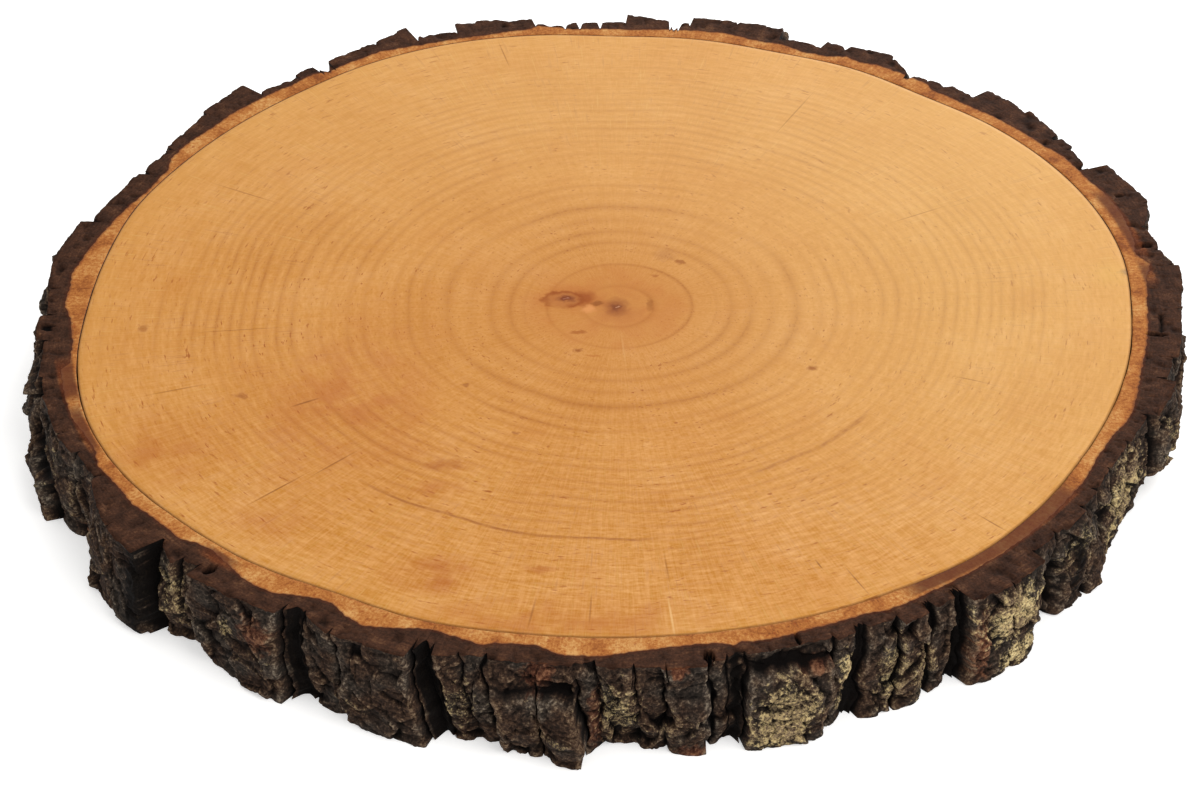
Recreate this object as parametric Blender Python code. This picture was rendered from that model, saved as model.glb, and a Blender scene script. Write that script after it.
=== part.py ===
"""A round slice sawn across a tree trunk, with the bark left on its edge.

Units are metres, +Z is up. The slice lies flat on z = 0 with its origin under the middle of
its outline. The two sub-parts are the wood and the ring of bark round it.

The outlines are given from the main pith: angles in degrees, 0 at the front (-Y), 90 at the
right (+X), and reaches from the pith in millimetres.
"""
import math

import bmesh
import bpy
from mathutils import Vector, noise

MM = 0.001

THICKNESS = 30.0        # the sawn thickness of the slice
CAMBIUM_GAP = 0.3       # bark has come away from the wood along the cambium by this much
WOOD_COLUMN = 2.0       # degrees between the wood's upright edges

BARK_COLUMN = 1.5       # widest step, in degrees, between the bark's upright edges
BARK_ROWS = (0.0, 4.0, 8.0, 12.0, 16.0, 20.0, 24.0, 27.0, 30.0)
PLATE_WALL = 0.28       # degrees over which a plate's side drops to the fissure beside it
LEDGE_RISE = 3.0        # height over which a plate steps back above its ledge
PLATE_BULGE = 0.9       # plates stand out this much more at half height

RELIEF_SEED = Vector((41.3, 17.9, 6.2))
BROAD_RELIEF = 0.9      # depth of the swells on a plate
BROAD_WIDTH = 7.0       # across the bark
BROAD_HEIGHT = 16.0     # up and down the bark
RIDGE_RELIEF = 0.55     # depth of the narrow upright ridges
RIDGE_WIDTH = 3.2
RIDGE_HEIGHT = 13.0
CUT_EDGE_RELIEF = 0.2   # share of the relief that is left where the saw cut the bark

# Reach of the wood every ten degrees, from -180 at the back round by the left and the front
WOOD_REACH = (
    152.7, 155.5, 157.3, 157.2, 155.5, 155.0, 155.0, 155.7, 155.2,
    155.9, 158.5, 160.2, 159.6, 157.3, 155.5, 152.8, 153.2, 151.8,
    151.2, 151.0, 151.2, 151.0, 151.5, 150.3, 149.0, 149.2, 150.3,
    151.5, 154.0, 155.0, 155.0, 154.0, 152.0, 153.0, 152.0, 153.0,
)

# The plates of bark, from the left round by the front, the right and the back. Each row has
# the angles where a plate starts and ends, its reach there at the top face, its reach there
# at the bottom face, the height of its ledge (0 where it has none) and the reach of the
# fissure that follows it.
PLATES = (
    (-93.2, -88.8, 168.4, 167.6, 168.8, 168.4, 0, 165.0),
    (-88.5, -84.4, 169.4, 170.2, 168.8, 170.0, 0, 166.0),
    (-84.1, -77.2, 167.8, 169.8, 170.6, 173.4, 24, 170.0),
    (-76.9, -68.8, 170.2, 170.4, 174.4, 176.4, 12, 169.0),
    (-68.5, -65.2, 170.6, 169.4, 171.8, 169.2, 0, 166.0),
    (-64.9, -61.0, 166.8, 167.5, 166.6, 168.8, 0, 165.5),
    (-60.7, -53.8, 168.0, 174.4, 172.0, 175.6, 0, 173.6),
    (-53.5, -48.9, 174.8, 176.4, 175.4, 173.8, 0, 165.6),
    (-48.1, -45.2, 167.6, 170.6, 169.2, 166.6, 0, 166.0),
    (-44.9, -43.3, 167.0, 166.4, 166.0, 165.4, 0, 164.6),
    (-43.0, -33.0, 171.2, 168.8, 168.2, 170.4, 0, 163.0),
    (-30.5, -27.4, 165.0, 168.0, 166.0, 165.6, 0, 165.3),
    (-27.1, -19.6, 168.2, 169.6, 167.6, 170.4, 0, 160.8),
    (-17.3, -15.2, 166.0, 164.5, 164.4, 163.0, 0, 162.8),
    (-14.9, -12.7, 163.8, 163.2, 163.4, 162.8, 0, 161.5),
    (-12.2, -8.3, 163.6, 163.4, 167.2, 167.6, 20, 163.2),
    (-8.1, -4.4, 163.4, 163.0, 167.8, 171.2, 20, 162.0),
    (-4.0, -2.5, 161.9, 161.7, 165.4, 161.4, 0, 160.8),
    (-2.1, 1.2, 163.4, 163.6, 159.8, 161.2, 0, 162.2),
    (1.5, 4.2, 164.0, 164.4, 162.4, 161.8, 0, 162.6),
    (4.4, 8.1, 164.6, 165.0, 164.2, 166.8, 0, 160.5),
    (8.7, 9.9, 163.6, 163.0, 163.2, 161.6, 0, 160.6),
    (12.1, 20.4, 162.4, 161.4, 166.4, 167.4, 24, 160.5),
    (20.9, 22.9, 162.8, 161.6, 163.8, 161.0, 0, 158.6),
    (24.3, 27.3, 161.0, 160.9, 163.8, 164.5, 0, 160.2),
    (27.6, 30.4, 165.2, 163.6, 164.6, 164.2, 0, 158.8),
    (31.5, 33.8, 162.6, 162.3, 163.4, 160.4, 0, 158.3),
    (35.0, 39.4, 166.4, 167.3, 166.6, 168.6, 0, 165.8),
    (39.7, 44.2, 167.0, 165.8, 168.6, 166.4, 0, 160.2),
    (44.8, 48.2, 161.0, 160.4, 161.0, 160.2, 0, 159.2),
    (48.5, 53.2, 160.8, 161.4, 161.4, 163.6, 0, 158.4),
    (53.6, 56.3, 160.4, 160.0, 163.6, 162.8, 0, 157.4),
    (57.0, 60.2, 158.4, 157.8, 162.0, 160.0, 16, 156.9),
    (60.6, 65.2, 158.2, 158.0, 159.4, 157.4, 0, 157.0),
    (65.7, 70.4, 158.6, 159.6, 157.8, 158.6, 0, 157.6),
    (70.8, 77.0, 163.2, 165.0, 157.8, 158.6, 8, 158.8),
    (77.5, 81.0, 162.2, 163.2, 163.8, 166.2, 0, 161.4),
    (81.3, 89.5, 164.8, 166.3, 164.4, 164.6, 0, 164.0),
    (89.8, 97.4, 166.8, 169.4, 165.4, 168.2, 0, 166.2),
    (97.7, 100.4, 167.8, 166.6, 168.0, 166.6, 0, 164.6),
    (100.8, 104.6, 166.2, 165.8, 166.0, 165.6, 0, 164.4),
    (105.0, 108.7, 166.2, 171.0, 167.0, 171.0, 0, 169.8),
    (109.0, 116.7, 171.8, 170.2, 170.6, 169.4, 0, 161.8),
    (117.8, 121.0, 164.4, 165.6, 163.8, 165.2, 0, 164.0),
    (121.3, 123.2, 167.0, 166.2, 166.6, 166.2, 0, 163.6),
    (124.1, 129.4, 166.4, 169.4, 166.2, 169.6, 0, 167.6),
    (129.7, 135.3, 168.3, 168.6, 169.2, 169.4, 0, 162.6),
    (136.0, 141.3, 162.6, 161.0, 163.4, 162.0, 0, 159.8),
    (141.6, 143.3, 160.5, 160.0, 161.4, 160.8, 0, 157.4),
    (144.3, 147.0, 160.2, 165.6, 161.2, 166.4, 0, 164.8),
    (147.4, 152.6, 166.8, 165.2, 167.8, 166.4, 0, 163.0),
    (153.1, 155.2, 164.0, 164.3, 165.0, 165.2, 0, 160.2),
    (156.0, 160.2, 160.8, 160.8, 161.8, 161.6, 0, 159.8),
    (160.8, 165.8, 167.2, 166.3, 168.2, 167.4, 0, 164.9),
    (166.2, 171.1, 166.2, 166.4, 167.4, 167.6, 0, 160.8),
    (171.5, 172.3, 162.4, 162.0, 163.4, 163.0, 0, 157.4),
    (173.8, 178.6, 163.0, 166.6, 164.4, 167.8, 0, 161.0),
    (179.0, 181.5, 161.6, 161.4, 162.8, 162.6, 0, 157.6),
    (182.1, 183.9, 161.4, 161.6, 162.8, 163.0, 0, 157.8),
    (184.5, 185.7, 162.6, 161.4, 163.8, 162.8, 0, 159.0),
    (186.1, 189.1, 160.4, 162.4, 161.8, 163.6, 0, 161.4),
    (189.5, 198.1, 165.8, 169.0, 167.2, 170.4, 0, 162.4),
    (198.6, 202.8, 163.8, 164.9, 165.4, 166.4, 0, 162.2),
    (203.4, 207.5, 171.6, 168.4, 172.4, 169.8, 0, 166.8),
    (207.9, 214.0, 168.0, 165.6, 169.4, 167.0, 0, 159.8),
    (216.1, 218.4, 165.3, 165.0, 166.8, 166.4, 0, 162.2),
    (218.8, 223.5, 163.2, 163.3, 165.2, 165.2, 0, 162.0),
    (224.1, 230.7, 170.4, 168.5, 171.6, 169.8, 0, 166.2),
    (231.1, 238.3, 167.0, 164.4, 168.6, 166.2, 0, 162.2),
    (238.8, 243.3, 163.0, 163.4, 164.8, 165.2, 0, 160.6),
    (244.0, 253.7, 163.9, 165.6, 165.8, 167.4, 0, 163.2),
    (254.3, 260.7, 168.8, 170.8, 170.4, 172.2, 0, 169.8),
    (261.0, 266.4, 170.6, 169.4, 171.8, 171.0, 0, 166.6),
)

# How far a fissure has moved round, in degrees, at the bottom face: (angle, move)
FISSURE_LEAN = (
    (-93.2, 0.0), (-60.0, 0.2), (-34.0, 0.5), (-19.0, 2.0), (-4.0, 1.0), (8.0, 0.0),
    (22.0, -1.2), (34.0, -0.2), (58.0, 0.0), (77.0, -1.2), (110.0, 1.5), (150.0, -1.5), (190.0, 1.8),
    (230.0, -1.2), (266.8, 0.0),
)


def interpolate(points, x):
    """Value at x on straight runs between (x, value) points in rising order."""
    for (x0, v0), (x1, v1) in zip(points, points[1:]):
        if x <= x1:
            return v0 + (v1 - v0) * max(0.0, x - x0) / (x1 - x0)
    return points[-1][1]


def smooth(share):
    share = min(1.0, max(0.0, share))
    return share * share * (3.0 - 2.0 * share)


def wood_reach(angle):
    """Reach of the wood at an angle, on a smooth closed curve through WOOD_REACH."""
    count = len(WOOD_REACH)
    place = (angle + 180.0) / 360.0 * count
    index = math.floor(place)
    t = place - index
    p0, p1, p2, p3 = (WOOD_REACH[(index + k) % count] for k in (-1, 0, 1, 2))
    return 0.5 * (2.0 * p1 + (p2 - p0) * t + (2.0 * p0 - 5.0 * p1 + 4.0 * p2 - p3) * t ** 2
                  + (3.0 * p1 - p0 - 3.0 * p2 + p3) * t ** 3)


def point(angle, reach, height):
    """A point, in metres from the pith, at an angle and reach."""
    turn = math.radians(angle)
    return Vector((reach * math.sin(turn), -reach * math.cos(turn), height)) * MM


def bark_columns():
    """Upright lines of the bark's outer face: (angle, top reach, bottom reach, ledge)."""
    knots = []
    for index, (start, end, top_a, top_b, foot_a, foot_b, ledge, floor) in enumerate(PLATES):
        steps = math.ceil((end - start) / BARK_COLUMN)
        for step in range(steps + 1):
            t = step / steps
            knots.append((start + (end - start) * t, top_a + (top_b - top_a) * t,
                          foot_a + (foot_b - foot_a) * t, ledge))
        last = index == len(PLATES) - 1
        following = PLATES[0][0] + 360.0 if last else PLATES[index + 1][0]
        if following - end > 3.0 * PLATE_WALL:
            knots.append((end + PLATE_WALL, floor, floor, 0))
            knots.append((following - PLATE_WALL, floor, floor, 0))
        else:
            knots.append(((end + following) / 2.0, floor, floor, 0))
    return knots


def relief(angle, reach, height):
    """How far the plates' rough face stands out at a place on the bark."""
    turn = math.radians(angle)
    place = Vector((math.sin(turn), -math.cos(turn), 0.0)) * reach
    broad = place / BROAD_WIDTH
    broad.z = height / BROAD_HEIGHT
    ridge = place / RIDGE_WIDTH
    ridge.z = height / RIDGE_HEIGHT
    swell = BROAD_RELIEF * noise.noise(broad + RELIEF_SEED)
    ridges = RIDGE_RELIEF * noise.noise(ridge - RELIEF_SEED)
    from_cut = min(height, THICKNESS - height)
    return (swell + ridges) * (CUT_EDGE_RELIEF + (1.0 - CUT_EDGE_RELIEF) * smooth(from_cut / 4.0))


def bark_point(column, height):
    """The point on the bark's outer face where a column passes a height."""
    angle, top, foot, ledge = column
    rise = height / THICKNESS
    if ledge:
        reach = foot + (top - foot) * smooth((height - ledge) / LEDGE_RISE)
    else:
        reach = foot + (top - foot) * rise
    reach += PLATE_BULGE * math.sin(math.pi * rise)
    reach += relief(angle, reach, height)
    return point(angle + interpolate(FISSURE_LEAN, angle) * (1.0 - rise), reach, height)


def bridge(bm, lower, upper):
    """A closed band of triangles from one ring of vertices to the next."""
    count = len(lower)
    for i in range(count):
        j = (i + 1) % count
        bm.faces.new((lower[i], lower[j], upper[j]))
        bm.faces.new((lower[i], upper[j], upper[i]))


def material(name, color, roughness):
    made = bpy.data.materials.new(name)
    made.use_nodes = True
    shader = made.node_tree.nodes["Principled BSDF"]
    shader.inputs["Base Color"].default_value = (*color, 1.0)
    shader.inputs["Roughness"].default_value = roughness
    shader.inputs["Metallic"].default_value = 0.0
    made.diffuse_color = (*color, 1.0)
    return made


def add_object(name, bm, look):
    bmesh.ops.recalc_face_normals(bm, faces=bm.faces)
    mesh = bpy.data.meshes.new(name)
    bm.to_mesh(mesh)
    bm.free()
    mesh.materials.append(look)
    made = bpy.data.objects.new(name, mesh)
    bpy.context.scene.collection.objects.link(made)
    return made


def make_wood(look):
    """The sawn disc: an upright wall round its outline and two flat sawn faces."""
    bm = bmesh.new()
    angles = [i * WOOD_COLUMN for i in range(round(360.0 / WOOD_COLUMN))]
    rings = [[bm.verts.new(point(angle, wood_reach(angle), height)) for angle in angles]
             for height in (0.0, THICKNESS)]
    bridge(bm, *rings)
    for ring, height in zip(rings, (0.0, THICKNESS)):
        pith = bm.verts.new(point(0.0, 0.0, height))
        for a, b in zip(ring, ring[1:] + ring[:1]):
            bm.faces.new((pith, a, b))
    made = add_object("wood", bm, look)
    made.data.shade_smooth()
    made.data.set_sharp_from_angle(angle=math.radians(40.0))
    return made


def make_bark(look):
    """The ring of bark: plated outside, smooth inside, with flat sawn faces."""
    bm = bmesh.new()
    columns = bark_columns()
    outer = [[bm.verts.new(bark_point(column, height)) for column in columns]
             for height in BARK_ROWS]
    inner = [[bm.verts.new(point(angle, wood_reach(angle) + CAMBIUM_GAP, height))
              for angle, *_ in columns] for height in (0.0, THICKNESS)]
    for lower, upper in zip(outer, outer[1:]):
        bridge(bm, lower, upper)
    bridge(bm, outer[-1], inner[-1])
    bridge(bm, inner[-1], inner[0])
    bridge(bm, inner[0], outer[0])
    made = add_object("bark", bm, look)
    made.data.shade_flat()
    return made


def centre_on_outline(objects):
    """Move the meshes so that the origin lies under the middle of their outline."""
    corners = [vertex.co for made in objects for vertex in made.data.vertices]
    middle = Vector([(min(c[axis] for c in corners) + max(c[axis] for c in corners)) / 2.0
                     for axis in (0, 1)] + [0.0])
    for made in objects:
        for vertex in made.data.vertices:
            vertex.co -= middle


def main():
    for old in list(bpy.data.objects):
        bpy.data.objects.remove(old, do_unlink=True)
    wood = make_wood(material("sawn_wood", (0.68, 0.36, 0.13), 0.62))
    bark = make_bark(material("rough_bark", (0.055, 0.032, 0.022), 0.9))
    centre_on_outline((wood, bark))


main()
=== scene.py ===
# %% [markdown]
# # A slice of alder with its bark on
#
# The object is a round slice sawn across the trunk of an alder. The pale disc is the wood, with its
# yearly rings, and the dark rim is the bark, split into plates by deep fissures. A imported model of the
# slice gives its true size and its rough form. This script keeps that size and lays the fine surface
# over it: thousands of small steps and cracks in the bark, and the rings, rays and flecks in the wood.
#
# The first cell loads that model as a fixed frame. Everything after it is measured from the frame.

# %% Load the frame
import itertools
import math

import bpy
import numpy as np
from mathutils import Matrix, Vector


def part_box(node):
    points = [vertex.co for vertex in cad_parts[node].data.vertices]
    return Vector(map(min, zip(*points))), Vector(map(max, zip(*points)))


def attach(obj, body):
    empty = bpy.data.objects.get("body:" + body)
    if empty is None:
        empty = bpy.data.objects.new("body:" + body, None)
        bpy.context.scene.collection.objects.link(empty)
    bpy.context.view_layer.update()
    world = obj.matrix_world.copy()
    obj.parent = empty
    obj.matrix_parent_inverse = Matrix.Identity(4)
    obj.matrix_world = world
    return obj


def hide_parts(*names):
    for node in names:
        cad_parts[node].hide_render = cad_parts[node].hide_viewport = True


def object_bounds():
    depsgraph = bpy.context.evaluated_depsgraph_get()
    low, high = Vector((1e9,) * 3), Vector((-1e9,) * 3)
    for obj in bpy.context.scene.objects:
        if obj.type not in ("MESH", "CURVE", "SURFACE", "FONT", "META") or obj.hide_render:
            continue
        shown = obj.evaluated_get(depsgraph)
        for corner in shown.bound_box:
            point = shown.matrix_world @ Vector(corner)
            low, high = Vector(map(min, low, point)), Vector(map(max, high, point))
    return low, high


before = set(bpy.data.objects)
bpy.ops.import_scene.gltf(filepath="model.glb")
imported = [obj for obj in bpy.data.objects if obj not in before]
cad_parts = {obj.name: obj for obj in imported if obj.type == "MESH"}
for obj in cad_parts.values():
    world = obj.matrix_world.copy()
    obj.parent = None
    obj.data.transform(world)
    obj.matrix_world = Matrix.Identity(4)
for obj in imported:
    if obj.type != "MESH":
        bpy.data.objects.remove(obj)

MM = 0.001                                   # the scene is in metres, this script counts millimetres
cad_low, cad_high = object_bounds()
THICKNESS = (cad_high.z - cad_low.z) / MM
print("frame", [round(side / MM, 1) for side in cad_high - cad_low], "mm")

# %% [markdown]
# ## Where things are on a slice
#
# A slice is easiest to describe the way it grew, from the pith outwards. So a place is given here by an
# angle and a reach: 0 degrees is the front, 90 the right, 180 the back, and the reach is the distance
# from the pith. The outline of the wood needs only one reach every ten degrees, because wood is smooth,
# with a smooth curve through them. The box of the wood in the frame then says where the pith lies.

# %% The wood's outline and the pith
WOOD_REACH = (                               # every ten degrees from -180, by the left, front and right
    152.7, 155.5, 157.3, 157.2, 155.5, 155.0, 155.0, 155.7, 155.2,
    155.9, 158.5, 160.2, 159.6, 157.3, 155.5, 152.8, 153.2, 151.8,
    151.2, 151.0, 151.2, 151.0, 151.5, 150.3, 149.0, 149.2, 150.3,
    151.5, 154.0, 155.0, 155.0, 154.0, 152.0, 153.0, 152.0, 153.0,
)


def wood_reach(angle):
    """Reach of the wood at an array of angles, on a smooth closed curve."""
    place = (np.asarray(angle, float) + 180.0) / 360.0 * len(WOOD_REACH)
    index = np.floor(place).astype(int)
    t = place - index
    p0, p1, p2, p3 = (np.take(WOOD_REACH, index + k, mode="wrap") for k in (-1, 0, 1, 2))
    return 0.5 * (2 * p1 + (p2 - p0) * t + (2 * p0 - 5 * p1 + 4 * p2 - p3) * t ** 2
                  + (3 * p1 - p0 - 3 * p2 + p3) * t ** 3)


def place(angle, reach, height):
    """Points from the pith, in millimetres, for arrays of angles, reaches and heights."""
    turn = np.radians(angle)
    return np.stack(np.broadcast_arrays(reach * np.sin(turn), -reach * np.cos(turn), height), -1)


rim = np.arange(-180.0, 180.0, 2.0)
wood_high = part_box("wood")[1]
PITH = Vector(np.array(wood_high) - place(rim, wood_reach(rim), 0.0).max(0) * MM)
PITH.z = cad_low.z
print("pith at", [round(side / MM, 2) for side in PITH], "mm")

# %% [markdown]
# ## The camera
#
# The slice is looked at from in front and above. A long lens from over a metre away keeps the far edge
# nearly as large as the near one, and the whole slice just fits the picture.

# %% Camera
CAMERA_ELEVATION = math.radians(36.5)
CAMERA_DISTANCE = 1150.0
CAMERA_LENS = 120.65                         # on a sensor 36 mm wide
LOOK_AT = (-5.0, -43.6, THICKNESS)           # from the pith, in the top face

camera = bpy.data.objects.new("camera", bpy.data.cameras.new("camera"))
camera.data.lens = CAMERA_LENS
camera.data.sensor_width = 36.0
camera.data.sensor_fit = "HORIZONTAL"
towards = Vector((0.0, -math.cos(CAMERA_ELEVATION), math.sin(CAMERA_ELEVATION)))
camera.location = PITH + Vector(LOOK_AT) * MM + towards * CAMERA_DISTANCE * MM
camera.rotation_euler = (math.pi / 2 - CAMERA_ELEVATION, 0.0, 0.0)
bpy.context.scene.collection.objects.link(camera)
bpy.context.scene.camera = camera
print("camera at", [round(side, 3) for side in camera.location])

# %% [markdown]
# ## Helpers for colours and shader nodes
#
# Colours are written as they look on a screen, in hex, and one function turns them to the linear values
# that a renderer counts in. Another adds one node to a shader, with its settings and its links. Inputs
# go by number where their names repeat. A MapRange takes its value at 0, stretches what lies between 1
# and 2, and gives it out between 3 and 4. A Mix takes its share at 0 and two colours at 6 and 7.

# %% Colour and node helpers
def linear(colour):
    """Linear red, green, blue and alpha of an sRGB hex colour."""
    parts = [int(colour[i:i + 2], 16) / 255 for i in (1, 3, 5)]
    return [c / 12.92 if c <= 0.04045 else ((c + 0.055) / 1.055) ** 2.4 for c in parts] + [1.0]


def node(tree, kind, inputs=None, out=0, stops=None, **settings):
    """Adds a node and returns one output. An input is a value or another node's output."""
    made = tree.nodes.new("ShaderNode" + kind)
    for name, value in settings.items():
        setattr(made, name, value)
    for key, value in (inputs or {}).items():
        if isinstance(value, bpy.types.NodeSocket):
            tree.links.new(value, made.inputs[key])
        else:
            made.inputs[key].default_value = value
    if stops:
        ramp = made.color_ramp.elements
        while len(ramp) < len(stops):
            ramp.new(0.5)
        for element, (position, colour) in zip(ramp, stops):
            element.position = position
            element.color = linear(colour) if isinstance(colour, str) else (*[colour] * 3, 1.0)
    return made.outputs[out]


def new_material(name, **principled):
    """A material, its node tree and its main shader, with the shader's own values set."""
    made = bpy.data.materials.new(name)
    made.use_nodes = True
    shader = made.node_tree.nodes["Principled BSDF"]
    for key, value in principled.items():
        shader.inputs[key.replace("_", " ")].default_value = value
    return made, made.node_tree, shader


print("sRGB mid grey is linear", round(linear("#808080")[0], 3))

# %% [markdown]
# ## Noise to roughen a surface
#
# Bark is rough at every scale. Blender's noise textures live in shaders, but the shape here has to be
# real geometry, so it is worked out for hundreds of thousands of points at once with numpy. Gradient
# noise gives soft swells and lumps. Cell noise gives each flake of bark a level of its own with a sharp
# step between neighbours, the way layers of cork break off. All draws are seeded.

# %% Gradient noise
shuffle = np.random.default_rng(7)
DIRECTIONS = shuffle.normal(size=(256, 3))
DIRECTIONS /= np.linalg.norm(DIRECTIONS, axis=1, keepdims=True)
SHUFFLED = shuffle.permutation(256)


def noise(points, cell, seed=0.0):
    """Soft noise, mostly between -1 and 1. cell is the size of its lumps in millimetres."""
    spot = points / np.asarray(cell, float) + np.array([seed, seed * 1.7, seed * 2.3]) + 64.0
    base = np.floor(spot).astype(int)
    part = spot - base
    ease = part ** 3 * (part * (part * 6 - 15) + 10)
    total = np.zeros(spot.shape[:-1])
    for corner in itertools.product((0, 1), repeat=3):
        at = (base + corner) & 255
        pick = SHUFFLED[(SHUFFLED[(SHUFFLED[at[..., 0]] + at[..., 1]) & 255] + at[..., 2]) & 255]
        slope = ((part - corner) * DIRECTIONS[pick]).sum(-1)
        total += slope * np.where(np.array(corner) == 1, ease, 1 - ease).prod(-1)
    return total * 1.7


# %% Cell noise
AROUND = 166.0                               # reach at which distances round the bark are counted


def flakes(angle, height, wide, tall, seed, tilt):
    """For each place: the level of its tilted flake, and how near the flake's edge is (0 at it)."""
    count = round(math.tau * AROUND / wide)
    draw = np.random.default_rng(seed)
    rows = int(THICKNESS / tall) + 6
    jitter = draw.uniform(0.1, 0.9, (count, rows, 2))
    levels = draw.uniform(0.0, 1.0, (count, rows))
    slopes = draw.uniform(-tilt, tilt, (count, rows, 2))
    across = angle / 360.0 * count
    up = height / tall + 3.0
    nearest = np.full(across.shape, 9.0)
    second = nearest.copy()
    level = np.zeros(across.shape)
    for step in itertools.product((-1, 0, 1), repeat=2):
        i = np.floor(across).astype(int) + step[0]
        j = np.clip(np.floor(up).astype(int) + step[1], 0, rows - 1)
        beside = i + jitter[i % count, j, 0] - across
        above = j + jitter[i % count, j, 1] - up
        away = np.hypot(beside, above)
        closer = away < nearest
        second = np.where(closer, nearest, np.minimum(second, away))
        sloped = slopes[i % count, j, 0] * beside + slopes[i % count, j, 1] * above
        level = np.where(closer, levels[i % count, j] - 0.5 + sloped, level)
        nearest = np.where(closer, away, nearest)
    return level, second - nearest


def smooth(share):
    """Eases a share in and out, from 0 to 1."""
    share = np.clip(share, 0.0, 1.0)
    return share * share * (3 - 2 * share)


print("noise at the pith", round(float(noise(np.zeros((1, 3)), 5.0)[0]), 3))

# %% [markdown]
# ## Meshes from arrays
#
# The wood and the bark are both made like a turned ring: one closed outline, repeated round the pith in
# close steps and joined by rectangles. A helper makes such a mesh from an array of points and gives it
# the materials and the per-point values that the shaders read.

# %% Mesh helper
def make_piece(name, points, faces, looks, look_of_face, values, flat):
    """An object from points in millimetres from the pith, with a value per point for each name."""
    mesh = bpy.data.meshes.new(name)
    mesh.from_pydata((points * MM + np.array(PITH)).tolist(), [], faces)
    for look in looks:
        mesh.materials.append(look)
    mesh.polygons.foreach_set("material_index", look_of_face)
    mesh.polygons.foreach_set("use_smooth", np.logical_not(flat))
    for key, value in values.items():
        wide = value.ndim == 2
        attribute = mesh.attributes.new(key, "FLOAT_VECTOR" if wide else "FLOAT", "POINT")
        attribute.data.foreach_set("vector" if wide else "value", value.ravel().astype(np.float32))
    mesh.update()
    made = bpy.data.objects.new(name, mesh)
    bpy.context.scene.collection.objects.link(made)
    print(name, len(mesh.vertices), "points,", sum(len(f) - 2 for f in faces), "triangles")
    return made


# %% [markdown]
# ## The plates of bark
#
# Old alder bark splits into plates as the trunk grows, with fissures between them. The table lists the
# plates in turn, starting at the left and going round by the front. It has the same values as the
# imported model, so that the fine surface lies on the solid one. Each row has the angles where a plate
# starts and ends, its reach there at the top face and at the bottom face, the height of its ledge (0 for
# none) and the reach of the fissure after it.

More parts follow.
